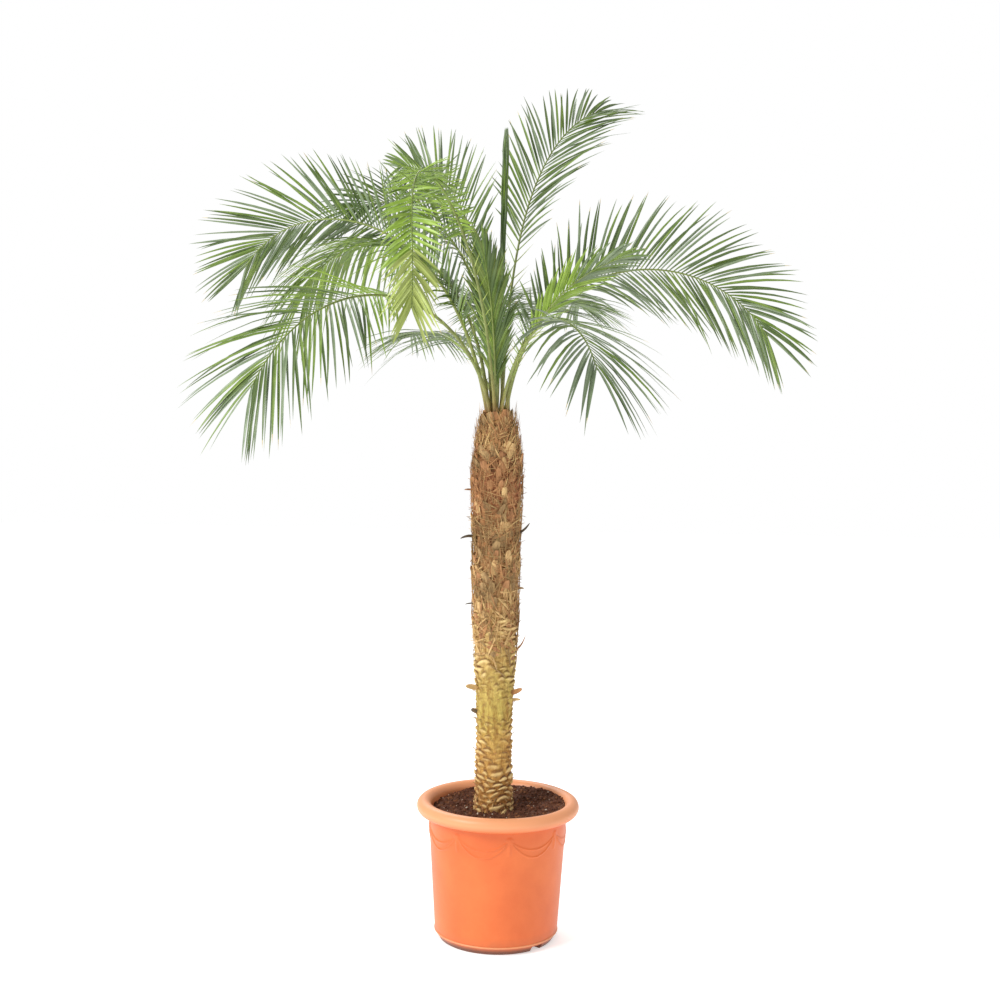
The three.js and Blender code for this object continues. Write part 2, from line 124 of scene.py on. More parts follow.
def pot_outline():
    """Radius and height along the pot's section, from the middle of its underside round to its floor."""
    outline = [(0, 0), (UNDERSIDE_RING, 0), (DRAIN_INNER_RADIUS - POT_EDGE, 0), (DRAIN_INNER_RADIUS, 0)]
    outline += [(POT_FOOT_RADIUS - 3 * POT_EDGE, 0), (POT_FOOT_RADIUS - POT_EDGE, POT_EDGE / 2)]
    for share in POT_BEVEL_SHARES:
        radius = POT_FOOT_RADIUS + (POT_BASE_RADIUS - POT_FOOT_RADIUS) * share
        outline.append((radius, POT_BEVEL * share))
    for rise in np.linspace(-1, 1, 9):
        radius = pot_radius(FOOT_BEAD_HEIGHT) + FOOT_BEAD * (1 - rise ** 2)
        outline.append((radius, FOOT_BEAD_HEIGHT + FOOT_BEAD_HALF * rise))
    plain = np.linspace(FOOT_BEAD_HEIGHT + 4 * POT_EDGE, SWAG_LOWEST, 14)
    moulded = np.arange(SWAG_LOWEST + 2 * POT_EDGE, SWAG_HIGHEST, 2 * POT_EDGE)
    outline += [(pot_radius(height), height) for height in (*plain, *moulded)]
    outline += [(pot_radius(NECK_STEPS[0][1]) + out, height) for out, height in NECK_STEPS]
    middle = POT_RIM_RADIUS - POT_RIM_ROLL
    centre = POT_HEIGHT - POT_RIM_ROLL
    for turn in POT_RIM_TURNS:
        outline.append((middle + POT_RIM_ROLL * math.cos(turn), centre + POT_RIM_ROLL * math.sin(turn)))
    outline.append((POT_BASE_RADIUS - POT_WALL, POT_BEVEL + POT_WALL / 2))
    return outline + [(POT_FOOT_RADIUS - POT_WALL, POT_FLOOR), (0, POT_FLOOR)]


def pot_place(radius, height, turn, outside):
    """A point of the pot's wall, raised where a drain slot is cut and where a swag is moulded."""
    slot = 2 * math.pi / DRAIN_SLOTS
    from_slot = abs(((turn - DRAIN_BEARING) / slot + 0.5) % 1.0 - 0.5) * slot * POT_FOOT_RADIUS
    in_slot = outside and radius >= DRAIN_INNER_RADIUS and height < DRAIN_HEIGHT
    if in_slot and from_slot <= DRAIN_WIDTH / 2:
        lip = POT_FOOT_RADIUS + (POT_BASE_RADIUS - POT_FOOT_RADIUS) * DRAIN_HEIGHT / POT_BEVEL
        return min(radius, lip), DRAIN_HEIGHT
    if outside and SWAG_LOWEST < height < SWAG_HIGHEST:
        return radius + swag_relief(turn, height), height
    return radius, height


def new_mesh(name, points, faces, edges=()):
    mesh = bpy.data.meshes.new(name)
    mesh.from_pydata(points, edges, faces)
    return mesh


def turned_mesh(name, outline, turns, place):
    """A closed shape turned about Z. Its outline starts and ends on the axis, and place() moves points."""
    widest = max(range(len(outline)), key=lambda i: outline[i][0])
    points = [(0, 0, outline[0][1])]
    for i, (radius, height) in enumerate(outline[1:-1], start=1):
        for turn in turns:
            r, z = place(radius, height, turn, i < widest)
            points.append((r * math.cos(turn), r * math.sin(turn), z))
    points.append((0, 0, outline[-1][1]))
    sides = len(turns)
    top = 1 + (len(outline) - 3) * sides
    faces = []
    for side in range(sides):
        after = (side + 1) % sides
        faces.append((0, 1 + after, 1 + side))
        for low in range(1, top, sides):
            faces.append((low + side, low + after, low + sides + after, low + sides + side))
        faces.append((top + side, top + after, len(points) - 1))
    mesh = new_mesh(name, points, faces)
    mesh.shade_smooth()
    return mesh


def put(name, data):
    """A new object in the scene."""
    thing = bpy.data.objects.new(name, data)
    bpy.context.scene.collection.objects.link(thing)
    return thing


def add_piece(name, mesh, slot, *nodes):
    """A finished piece of the palm: it rides on the one body and stands for the CAD nodes named."""
    piece = put(name, mesh)
    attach(piece, "root")
    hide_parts(*nodes)


def linear(red, green, blue):
    """A colour as read on screen, 0 to 255, as the linear colour that a shader takes."""
    shares = [value / 255 for value in (red, green, blue)]
    values = [((s + 0.055) / 1.055) ** 2.4 if s > 0.04045 else s / 12.92 for s in shares]
    return (*values, 1.0)


def add_node(tree, kind, links=None, **settings):
    """The outputs of a new node with its settings, and its inputs joined to a socket or set to a value."""
    node = tree.nodes.new(kind)
    for name, value in settings.items():
        setattr(node, name, value)
    for name, source in (links or {}).items():
        if isinstance(source, bpy.types.NodeSocket):
            tree.links.new(source, node.inputs[name])
        else:
            node.inputs[name].default_value = source
    return node.outputs


def reckoned(tree, operation, *values, **settings):
    """The result of a sum on sockets or numbers."""
    links = dict(enumerate(values))
    return add_node(tree, "ShaderNodeMath", links, operation=operation, **settings)[0]


def mapped(tree, value, start, end, low=0.0, high=1.0):
    """A value carried over from one range to another, and held at its ends."""
    links = {"Value": value, "From Min": start, "From Max": end, "To Min": low, "To Max": high}
    return add_node(tree, "ShaderNodeMapRange", links)["Result"]


def blended(tree, share, first, second, **settings):
    """One colour turned into a second by a share."""
    links = {0: share, 6: first, 7: second}
    return add_node(tree, "ShaderNodeMix", links, data_type="RGBA", **settings)[2]


def cloudy(tree, place, scale, detail, rough=0.5):
    """Soft noise, 0 to 1."""
    links = {"Vector": place, "Scale": scale, "Detail": detail, "Roughness": rough}
    return add_node(tree, "ShaderNodeTexNoise", links)["Fac"]


def new_group(name, kind, inputs, outputs):
    """An empty node group with its named sockets, each of a kind, and the outputs of its input node."""
    tree = bpy.data.node_groups.new(name, kind)
    for direction, sockets in (("INPUT", inputs), ("OUTPUT", outputs)):
        for label, socket in sockets.items():
            tree.interface.new_socket(name=label, in_out=direction, socket_type=f"NodeSocket{socket}")
    return tree, tree.nodes.new("NodeGroupInput").outputs


def mottle_group():
    """Two colours blended in soft patches and specks, with a fine grain in gloss and relief."""
    inputs = {"Place": "Vector", "Light": "Color", "Dark": "Color", "Patches": "Float", "Grain": "Float",
              "Smoothest": "Float", "Roughest": "Float"}
    outputs = {"Colour": "Color", "Roughness": "Float", "Height": "Float"}
    tree, given = new_group("mottle", "ShaderNodeTree", inputs, outputs)
    patches = cloudy(tree, given["Place"], given["Patches"], detail=4, rough=0.6)
    grain = cloudy(tree, given["Place"], given["Grain"], detail=3, rough=0.65)
    speck = reckoned(tree, "MULTIPLY_ADD", grain, 0.6, -0.3)
    shade = reckoned(tree, "ADD", mapped(tree, patches, 0.32, 0.68), speck, use_clamp=True)
    colour = blended(tree, shade, given["Light"], given["Dark"])
    gloss = mapped(tree, grain, 0.3, 0.7, given["Smoothest"], given["Roughest"])
    add_node(tree, "NodeGroupOutput", {"Colour": colour, "Roughness": gloss, "Height": grain})
    return tree


MOTTLE = mottle_group()


def mottled(tree, place, light, dark, patches, grain, gloss):
    """The mottle of two colours as read on screen. gloss is its lowest and highest roughness."""
    links = {"Place": place, "Light": linear(*light), "Dark": linear(*dark), "Patches": patches,
             "Grain": grain, "Smoothest": gloss[0], "Roughest": gloss[1]}
    return add_node(tree, "ShaderNodeGroup", links, node_tree=MOTTLE)


def start_finish(name):
    """A new material, its tree and the object's own coordinates."""
    material = bpy.data.materials.new(name)
    material.use_nodes = True
    tree = material.node_tree
    return material, tree, add_node(tree, "ShaderNodeTexCoord")["Object"]


def end_finish(tree, colour, skin, relief):
    """Joins a colour, and the gloss and the relief in metres of a mottled skin, to the shader."""
    shader = tree.nodes["Principled BSDF"]
    bump = add_node(tree, "ShaderNodeBump", {"Height": skin["Height"], "Distance": relief})
    tree.links.new(colour, shader.inputs["Base Color"])
    tree.links.new(skin["Roughness"], shader.inputs["Roughness"])
    tree.links.new(bump[0], shader.inputs["Normal"])


def mottled_finish(name, light, dark, patches, grain, gloss, relief, stretch=(1, 1, 1)):
    """A material of two mottled colours."""
    material, tree, place = start_finish(name)
    place = add_node(tree, "ShaderNodeMapping", {"Vector": place, "Scale": stretch})[0]
    skin = mottled(tree, place, light, dark, patches, grain, gloss)
    end_finish(tree, skin["Colour"], skin, relief)
    return material


def pot_finish():
    """Moulded plastic, bleached a little in patches, with dust and splashed soil at its foot, and painted
    shade and highlights.
    """
    material, tree, place = start_finish("pot plastic")
    skin = mottled(tree, place, (230, 117, 55), (218, 102, 43), patches=9, grain=900, gloss=(0.36, 0.5))
    height = add_node(tree, "ShaderNodeSeparateXYZ", {0: place})["Z"]
    low = mapped(tree, height, SPLASH_TOP, 0.0)
    dirty = reckoned(tree, "MULTIPLY", low, cloudy(tree, place, scale=55, detail=6))
    # Painted shade under the bevel, darkest towards the foot
    bevel_shade = mapped(tree, height, *BEVEL_SHADE_HEIGHTS, high=BEVEL_SHADE_SHARE)
    # worn is a painted highlight, a paler band along the bead
    on_bead = reckoned(tree, "COMPARE", height, FOOT_BEAD_HEIGHT, BEAD_HIGHLIGHT_HALF)
    worn = reckoned(tree, "MULTIPLY", on_bead, BEAD_HIGHLIGHT_SHARE)
    # high pales the rim: partly bleaching, partly a painted highlight
    high = mapped(tree, height, *RIM_HEIGHTS, high=RIM_SHARE)
    colour = skin["Colour"]
    # Over the plastic: real dust and soil, then painted shade, a painted bead highlight and the rim's
    # partly painted highlight
    stains_and_painted_light = ((dirty, SPLASH_COLOUR), (bevel_shade, BEVEL_SHADE_COLOUR), (worn, BEAD_HIGHLIGHT_COLOUR), (high, RIM_BLEACH_AND_HIGHLIGHT_COLOUR))
    for share, overlay_colour in stains_and_painted_light:
        colour = blended(tree, share, colour, linear(*overlay_colour))
    end_finish(tree, colour, skin, relief=0.00006)
    return material


slot_half = DRAIN_WIDTH / 2 / POT_FOOT_RADIUS
slot_edges = [(DRAIN_BEARING + 2 * math.pi * i / DRAIN_SLOTS + side * slot_half * nudge) % (2 * math.pi)
              for i in range(DRAIN_SLOTS) for side in (-1, 1) for nudge in DRAIN_EDGES]
pot_turns = sorted([2 * math.pi * i / POT_SIDES for i in range(POT_SIDES)] + slot_edges)
pot_mesh = turned_mesh("pot_moulded", pot_outline(), pot_turns, pot_place)
pot_mesh.set_sharp_from_angle(angle=POT_SHARP)
pot_mesh.materials.append(pot_finish())
add_piece("pot_moulded", pot_mesh, "pot_plastic", "pot")


# The soil
# Dark peaty potting soil, pressed in by hand round the trunk and higher at the back right.
# Crumbs, bark chips and pale grit lie loose on it.

soil_low, soil_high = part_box("soil")
SOIL_RADIUS = 0.1315
SOIL_EDGE = soil_high[2]
SOIL_DIP = 0.004
SOIL_FLOOR = soil_low[2]
SOIL_INSET = 0.005
SOIL_BEVEL_TOP = 0.017
SOIL_SHOULDER = 0.03
SOIL_TOP_DEPTH = 0.028
SOIL_SIDES = 144
SOIL_RINGS = 44
SOIL_TILT = 0.011
SOIL_TILT_TURN = math.radians(40)
SOIL_LUMPS = 0.0055
SOIL_WAVES = ((55, 1.0), (140, 0.6), (320, 0.35))
LUMP_SIDES = 5
LUMP_RINGS = ((-0.9, 0.35), (-0.1, 1.0), (0.75, 0.55))

# What lies on the soil: its two colours, number in a square metre, smallest and largest size, and seed
CRUMB_KINDS = (
    ("soil_crumbs", (100, 50, 22), (64, 32, 11), 26000, 0.0015, 0.0048, 11),
    ("soil_chips", (140, 88, 50), (94, 56, 30), 3600, 0.002, 0.0055, 12),
    ("soil_grit", (226, 214, 196), (190, 172, 150), 1500, 0.001, 0.0024, 13),
)


def soil_surface(radius, turn):
    """Height of the loose soil at a place on the pot's plan."""
    share = radius / SOIL_RADIUS
    height = SOIL_EDGE - SOIL_DIP * (1 - share ** 2)
    height += SOIL_TILT * share ** 2 * math.cos(turn - SOIL_TILT_TURN)
    spot = Vector((radius * math.cos(turn), radius * math.sin(turn), 0))
    lumps = sum(size * noise.noise(spot * waves) for waves, size in SOIL_WAVES)
    return height + SOIL_LUMPS * lumps * (1 - 0.5 * share ** 6)


def soil_place(radius, height, turn, outside):
    return radius, height if outside or radius > SOIL_RADIUS - 1e-6 else soil_surface(radius, turn)


def finish_tree(tree, geometry, finish, label):
    """Ends a geometry tree: real geometry with its material."""
    real = add_node(tree, "GeometryNodeRealizeInstances", {"Geometry": geometry})
    finished = add_node(tree, "GeometryNodeSetMaterial", {"Geometry": real[0], "Material": finish})
    add_node(tree, "NodeGroupOutput", {label: finished[0]})


def crumb_tree():
    """Lumps strewn over a surface, each turned and sized at random from a fixed seed."""
    inputs = {"Surface": "Geometry", "Lump": "Object", "Number per m2": "Float", "Smallest": "Float",
              "Largest": "Float", "Seed": "Int", "Finish": "Material"}
    tree, given = new_group("strewn crumbs", "GeometryNodeTree", inputs, {"Crumbs": "Geometry"})
    strewn = add_node(tree, "GeometryNodeDistributePointsOnFaces", {
        "Mesh": given["Surface"], "Density": given["Number per m2"], "Seed": given["Seed"]})
    lump = add_node(tree, "GeometryNodeObjectInfo", {"Object": given["Lump"]})
    turn = add_node(tree, "FunctionNodeRandomValue", {
        "Max": (2 * math.pi,) * 3, "Seed": given["Seed"]}, data_type="FLOAT_VECTOR")
    size = add_node(tree, "FunctionNodeRandomValue", {
        2: given["Smallest"], 3: given["Largest"], "Seed": given["Seed"]}, data_type="FLOAT")
    lumps = add_node(tree, "GeometryNodeInstanceOnPoints", {
        "Points": strewn["Points"], "Instance": lump["Geometry"],
        "Rotation": turn["Value"], "Scale": size[1]})
    finish_tree(tree, lumps[0], given["Finish"], "Crumbs")
    return tree


def run_tree(name, mesh, tree, values):
    """The plain mesh that a geometry tree makes from a mesh, with the tree's named inputs set."""
    carrier = put(name, mesh)
    modifier = carrier.modifiers.new(tree.name, "NODES")
    modifier.node_group = tree
    for socket in tree.interface.items_tree:
        if socket.in_out == "INPUT" and socket.name in values:
            modifier[socket.identifier] = values[socket.name]
    bpy.context.view_layer.update()
    evaluated = carrier.evaluated_get(bpy.context.evaluated_depsgraph_get())
    made = bpy.data.meshes.new_from_object(evaluated)
    made.name = name
    carrier.modifiers.remove(modifier)
    bpy.data.objects.remove(carrier)
    return made


def ring_quads(last, sides):
    """The faces between rings of points, up to the ring that begins at last."""
    return [(low + i, low + (i + 1) % sides, low + sides + (i + 1) % sides, low + sides + i)
            for low in range(0, last, sides) for i in range(sides)]


def lump_mesh():
    """One crumb: a low round stone shape, pushed out of round."""
    points = []
    for level, radius in LUMP_RINGS:
        for side in range(LUMP_SIDES):
            turn = 2 * math.pi * (side + 0.3 * level) / LUMP_SIDES
            stretch = radius * (1 + 0.3 * noise.noise((3 * level, side, 0.5)))
            points.append((stretch * math.cos(turn), 0.8 * stretch * math.sin(turn), 0.7 * level))
    last = len(points) - LUMP_SIDES
    ends = [tuple(range(LUMP_SIDES - 1, -1, -1)), tuple(range(last, len(points)))]
    return new_mesh("lump", points, ends + ring_quads(last, LUMP_SIDES))


soil_section = [(0, SOIL_FLOOR), (POT_FOOT_RADIUS - SOIL_INSET, SOIL_FLOOR)]
soil_section += [(POT_BASE_RADIUS - SOIL_INSET, SOIL_BEVEL_TOP), (SOIL_RADIUS, SOIL_EDGE - SOIL_SHOULDER)]
soil_section += [(radius, SOIL_EDGE) for radius in np.linspace(SOIL_RADIUS - 0.0005, 0.004, SOIL_RINGS)]
soil_section += [(0, SOIL_EDGE - SOIL_DIP)]
soil_turns = [2 * math.pi * i / SOIL_SIDES for i in range(SOIL_SIDES)]
soil_mesh = turned_mesh("soil_bed", soil_section, soil_turns, soil_place)
soil_mesh.materials.append(mottled_finish(
    "potting soil", (106, 58, 28), (62, 32, 13), patches=160, grain=700, gloss=(0.8, 1.0), relief=0.0012))
add_piece("soil_bed", soil_mesh, "potting_soil", "soil")

CRUMBS = crumb_tree()
lump = put("lump", lump_mesh())
on_top = {point.index for point in soil_mesh.vertices if point.co.z > SOIL_EDGE - SOIL_TOP_DEPTH}
top_faces = [tuple(face.vertices) for face in soil_mesh.polygons if on_top.issuperset(face.vertices)]
soil_points = [point.co for point in soil_mesh.vertices]
for name, light, dark, number, smallest, largest, seed in CRUMB_KINDS:
    finish = mottled_finish(
        name.replace("_", " "), light, dark, patches=300, grain=1200, gloss=(0.75, 0.95), relief=0.0003)
    crumbs = run_tree(name, new_mesh("soil_skin", soil_points, top_faces), CRUMBS, {
        "Lump": lump, "Number per m2": number, "Smallest": smallest, "Largest": largest, "Seed": seed,
        "Finish": finish})
    add_piece(name, crumbs, "potting_soil", "soil")
bpy.data.objects.remove(lump)


# The trunk
# One slim palm trunk, woody and fibrous, with leaf scars round it in uneven rows: on the bare yellow lower
# part, lips with a painted highlight under crevices in painted shade, and the bases of the last leaves
# above, matted with brown fibre.

FOOT_X = -0.009
CROWN_X = -0.014
trunk_low, trunk_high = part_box("trunk")
TRUNK_FOOT = trunk_low[2]
TRUNK_TOP = trunk_high[2]
TRUNK_LENGTH = TRUNK_TOP - TRUNK_FOOT
TRUNK_BURIED = 0.012
TRUNK_COLUMNS = 126
TRUNK_RINGS = 760
TRUNK_OUTLINE = ((0, 0.034), (0.06, 0.033), (0.16, 0.032), (0.33, 0.036), (0.48, 0.040), (0.65, 0.041),
                 (0.86, 0.043), (0.94, 0.035), (1, 0.024))
SCARS_ROUND = 9
SCAR_ROW = 0.0115
SCAR_ROWS = round(TRUNK_LENGTH / SCAR_ROW)
SCAR_RELIEF = 0.0056
SCAR_SIZES = (0.55, 1.25)
SCAR_WANDER = 0.55
SCAR_TWIST = math.radians(35)
BOOT_RELIEF = 0.006
LIP_JOIN = 0.5
LIP_RISE = 0.25
LIP_CURVE = 1.8
LIP_BELOW, LIP_ABOVE = 0.55, 0.13
LIP_HALF = 0.4
CREVICE_RISE, CREVICE_HALF = 0.22, 0.18
PILLOW_SHARE = 0.25
UNDER_BOOTS = 0.5
SMOOTH_BAND = 0.28
SMOOTH_BAND_HALF = 0.06
ROUGH_FOOT = (0.06, 0.2)
BOOTS_BEGIN = 0.4
BOOTS_FULL = 0.6
STREAK_RELIEF = 0.0016
ROUGH_RELIEF = 0.0011
BARK_WANDER = 0.24
BARK_COLOURS = (
    (0.0, (204, 156, 90)), (0.08, (218, 174, 100)), (0.18, (222, 184, 106)), (0.27, (208, 191, 104)),
    (0.42, (222, 194, 128)), (0.6, (206, 166, 114)), (0.76, (196, 144, 98)), (0.83, (194, 126, 88)),
    (0.91, (226, 182, 124)))
# Painted shade in the crevices over the lips and between the boots
CREVICE_SHADE_COLOUR = (112, 74, 40)
# Painted highlight on the highest scar lips
LIP_HIGHLIGHT_COLOUR = (250, 222, 156)
BARK_SEED = 7
chance = np.random.default_rng(BARK_SEED)

# Waves of unevenness in a metre of bark, each way
CLIMBING = (34, 34, 26)
DRIFTING = (40, 30, 40)
WORN = (24, 24, 15)
STREAKED = (90, 90, 22)
ROUGH = (260, 260, 150)
WRINKLED = (30, 30, 95)


def smooth_step(value, start, end):
    share = np.clip((value - start) / (end - start), 0, 1)
    return share * share * (3 - 2 * share)


def columns(*values):
    return np.stack(np.broadcast_arrays(*values), axis=-1)


def trunk_core(share):
    """Radius of the trunk without its scars: one smooth line through the outline's points."""
    places, radii = np.array(TRUNK_OUTLINE).T
    slopes = np.gradient(radii, places)
    after = np.clip(np.searchsorted(places, share), 1, len(places) - 1)
    width = places[after] - places[after - 1]
    s = (share - places[after - 1]) / width
    low = radii[after - 1] * (1 + 2 * s) * (1 - s) ** 2 + slopes[after - 1] * width * s * (1 - s) ** 2
    return low + radii[after] * s * s * (3 - 2 * s) - slopes[after] * width * s * s * (1 - s)


def trunk_point(share, turn, radius):
    middle = FOOT_X + (CROWN_X - FOOT_X) * share
    return columns(middle + radius * np.cos(turn), radius * np.sin(turn), TRUNK_FOOT + TRUNK_LENGTH * share)


def bark_noise(places, waves, shift=(0, 0, 0)):
    """Soft noise, -1 to 1, at places on the bark."""
    return np.array([noise.noise(place) for place in (places * waves + np.array(shift)).tolist()])


def scar_relief(column, level, sizes):
    """Relief of the leaf scars, 0 to 1 on a lip, and how deep a place lies in the crevice over a lip.
    Places are counted in scars round and rows up."""
    nearest = np.full_like(level, 9.0)
    relief = np.zeros_like(level)
    crevice = np.zeros_like(level)
    for step in (0, 1):
        row = np.floor(level) + step
        shift = 0.5 + (row % 2) / 2
        place = np.round(column - shift)
        size = sizes[np.clip(row, 0, SCAR_ROWS).astype(int), (place % SCARS_ROUND).astype(int)]
        sideways = column - shift - place
        upwards = level - row
        from_middle = np.abs(sideways) / 0.5 + np.abs(upwards)
        pillow = np.clip(1 - from_middle, 0, 1) ** 0.6
        crest = upwards - LIP_RISE + LIP_CURVE * sideways ** 2
        ledge = np.exp(-(crest / np.where(crest < 0, LIP_BELOW, LIP_ABOVE)) ** 2)
        wide = np.exp(-(sideways / (LIP_HALF * size)) ** 4)
        lip = ledge * (LIP_JOIN + (1 - LIP_JOIN) * wide)
        # gap: where the crevice over a lip is painted in shade
        gap = np.exp(-((crest - CREVICE_RISE) / CREVICE_HALF) ** 2) * wide
        closer = from_middle < nearest
        relief = np.where(closer, PILLOW_SHARE * pillow + (1 - PILLOW_SHARE) * lip * size, relief)
        crevice = np.where(closer, gap * np.clip(size, 0, 1), crevice)
        nearest = np.where(closer, from_middle, nearest)
    return np.stack([relief, crevice])


def set_values(mesh, name, kind, values):
    """A named attribute of a mesh's points."""
    field = "vector" if kind == "FLOAT_VECTOR" else "value"
    mesh.attributes.new(name, kind, "POINT").data.foreach_set(field, np.ravel(values))


def trunk_mesh():
    """Bark as one closed skin: scars, and streaks of fibre that are deeper higher up."""
    shares = np.linspace(-TRUNK_BURIED / TRUNK_LENGTH, 1, TRUNK_RINGS)
    turns = np.linspace(0, 2 * math.pi, TRUNK_COLUMNS, endpoint=False)
    share, turn = (grid.ravel() for grid in np.meshgrid(shares, turns, indexing="ij"))
    sizes = chance.uniform(*SCAR_SIZES, (SCAR_ROWS + 1, SCARS_ROUND))
    boots = smooth_step(share, BOOTS_BEGIN, BOOTS_FULL)
    core = trunk_core(np.clip(share, 0, 1))
    flat = trunk_point(share, turn, core)
    worn = bark_noise(flat, WORN, (0, 9, 0))
    streak = bark_noise(flat, STREAKED)
    wrinkle = bark_noise(flat, WRINKLED)
    column = (turn - SCAR_TWIST * share) / (2 * math.pi) * SCARS_ROUND
    column = column + SCAR_WANDER * bark_noise(flat[:, [1, 2, 0]], DRIFTING)
    level = np.clip(share, 0, 1) * SCAR_ROWS + 1.6 * SCAR_WANDER * bark_noise(flat, CLIMBING)
    kept = np.clip(0.9 + 0.8 * worn + 0.4 * (1 - smooth_step(share, *ROUGH_FOOT)), 0.4, 1.35)
    relief, crevice = scar_relief(column, level, sizes) * kept
    cracks = np.clip(1 - 3.5 * np.abs(wrinkle), 0, 1)
    smoother = 1 - 0.6 * np.exp(-((share - SMOOTH_BAND) / SMOOTH_BAND_HALF) ** 2)
    bare = np.clip(0.06 + smoother * relief + 0.2 * wrinkle - 0.1 * cracks, 0, 1.1)
    relief = bare * (1 - boots) + UNDER_BOOTS * relief * boots
    # Painted shade in the crevices over the lips below the boots, and in low places among the boots, mixed
    # with fibre streaks
    groove_shade = smoother * crevice * (1 - boots) + (0.6 - 1.6 * relief - 0.6 * streak) * boots
    height = relief * (SCAR_RELIEF + (BOOT_RELIEF - SCAR_RELIEF) * boots)
    height = height + STREAK_RELIEF * streak * (0.5 + boots) + ROUGH_RELIEF * bark_noise(flat, ROUGH)
    ends = columns([FOOT_X + (CROWN_X - FOOT_X) * shares[0], CROWN_X], 0.0,
                   [TRUNK_FOOT + TRUNK_LENGTH * shares[0], TRUNK_TOP])
    points = np.vstack([trunk_point(share, turn, core + height), ends])
    last = (TRUNK_RINGS - 1) * TRUNK_COLUMNS
    faces = ring_quads(last, TRUNK_COLUMNS)
    for side in range(TRUNK_COLUMNS):
        after = (side + 1) % TRUNK_COLUMNS
        faces.append((after, side, len(points) - 2))
        faces.append((last + side, last + after, len(points) - 1))
    mesh = new_mesh("trunk_bark", points.tolist(), faces)
    mesh.shade_smooth()
    # The relief, with the streaks, also sets where the lips get a painted highlight
    set_values(mesh, "relief", "FLOAT", np.append(relief + 0.25 * streak, [0.0, 0.0]))
    # This one carries the painted shade of the crevices and grooves
    set_values(mesh, "groove_shade", "FLOAT", np.append(np.clip(groove_shade, 0, 1), [0.0, 0.0]))
    return mesh


def colour_ramp(tree, share, stops):
    """A colour that changes with a share, by stops of place and colour."""
    ramp = add_node(tree, "ShaderNodeValToRGB", {"Fac": share})["Color"]
    elements = ramp.node.color_ramp.elements
    for element, (position, colour) in zip(elements, (stops[0], stops[-1])):
        element.position = position
        element.color = linear(*colour)
    for position, colour in stops[1:-1]:
        elements.new(position).color = linear(*colour)
    return ramp


def attribute(tree, name):
    return add_node(tree, "ShaderNodeAttribute", attribute_name=name)["Fac"]


def bark_finish():
    """Yellow bare bark low down, red-brown fibre higher up, painted shade in the grooves and streaked
    lengthwise.
    """
    material, tree, place = start_finish("palm bark")
    height = add_node(tree, "ShaderNodeSeparateXYZ", {0: place})["Z"]
    climb = mapped(tree, height, TRUNK_FOOT, TRUNK_TOP)
    wander = cloudy(tree, place, scale=14, detail=3)
    shift = reckoned(tree, "MULTIPLY_ADD", wander, BARK_WANDER, climb)
    bark = colour_ramp(tree, reckoned(tree, "SUBTRACT", shift, BARK_WANDER / 2), BARK_COLOURS)
    fibres = add_node(tree, "ShaderNodeMapping", {"Vector": place, "Scale": (1.0, 1.0, 0.16)})[0]
    skin = mottled(
        tree, fibres, (255, 250, 238), (188, 158, 130), patches=130, grain=520, gloss=(0.7, 0.95))
    colour = blended(tree, 1.0, bark, skin["Colour"], blend_type="MULTIPLY")
    # Painted shade in the crevices and grooves
    colour = blended(tree, attribute(tree, "groove_shade"), colour, linear(*CREVICE_SHADE_COLOUR))
    # A painted highlight: the highest lips are painted paler
    lip = mapped(tree, attribute(tree, "relief"), 0.5, 1.0, high=0.65)
    end_finish(tree, blended(tree, lip, colour, linear(*LIP_HIGHLIGHT_COLOUR)), skin, relief=0.0014)
    return material


bark_mesh = trunk_mesh()
bark_mesh.materials.append(bark_finish())
add_piece("trunk_bark", bark_mesh, "palm_bark", "trunk")


# Boots and fibre on the trunk
# The woody stubs of cut leaf stalks that still clasp the upper trunk, and the brown fibre of their sheaths.
# Both grow from the bark, so each is rooted in it. A few torn strips hang off further down.

BOOT_TINTS = (
    ((232, 196, 136), (164, 120, 74)), ((208, 152, 102), (138, 92, 56)), ((190, 156, 106), (120, 90, 56)))
FIBRE_TINTS = (
    ((224, 190, 130), (186, 148, 94)), ((194, 142, 92), (150, 104, 64)), ((174, 142, 92), (128, 98, 60)),
    ((110, 96, 74), (74, 62, 48)))
DARK_FIBRE = 3
BOOT_CROWDING = (0.6, 0.9)
BOOT_LENGTHS = (0.019, 0.032, 0.032, 0.026)
BOOT_BREADTHS = (0.011, 0.021)
BOOT_LEANS = (13, 7)
UNDER_CROWN = (0.88, 0.95)
RED_BAND, RED_BAND_HALF = 0.885, 0.03
BROWN_BAND, BROWN_BAND_HALF = 0.77, 0.05
FIBRES = 1700
STRIPS = 520
TUFTS = 560
ROOTS = 80
BARK_LIFT = 0.002
GROWN_SHARP = math.radians(35)
WITHERED_FROM = 0.86
FINISH_NAMES = ("First finish", "Second finish", "Third finish", "Fourth finish")

# Outlines of what grows: a share of its length, and its breadth and depth there
BOOT_SHAPE = ((0, 1, 0.46), (0.3, 0.96, 0.42), (0.62, 0.84, 0.34), (0.86, 0.66, 0.24), (1, 0.44, 0.15))
FIBRE_SHAPE = ((0, 1, 1), (0.25, 1, 1), (0.5, 0.9, 0.9), (0.75, 0.7, 0.7))
STRIP_SHAPE = ((0, 1, 0.5), (0.2, 1, 1), (0.45, 1, 0.95), (0.7, 1, 0.85), (0.9, 1, 0.6), (1, 1, 0.2))
STRIP_THICKNESS = 0.18

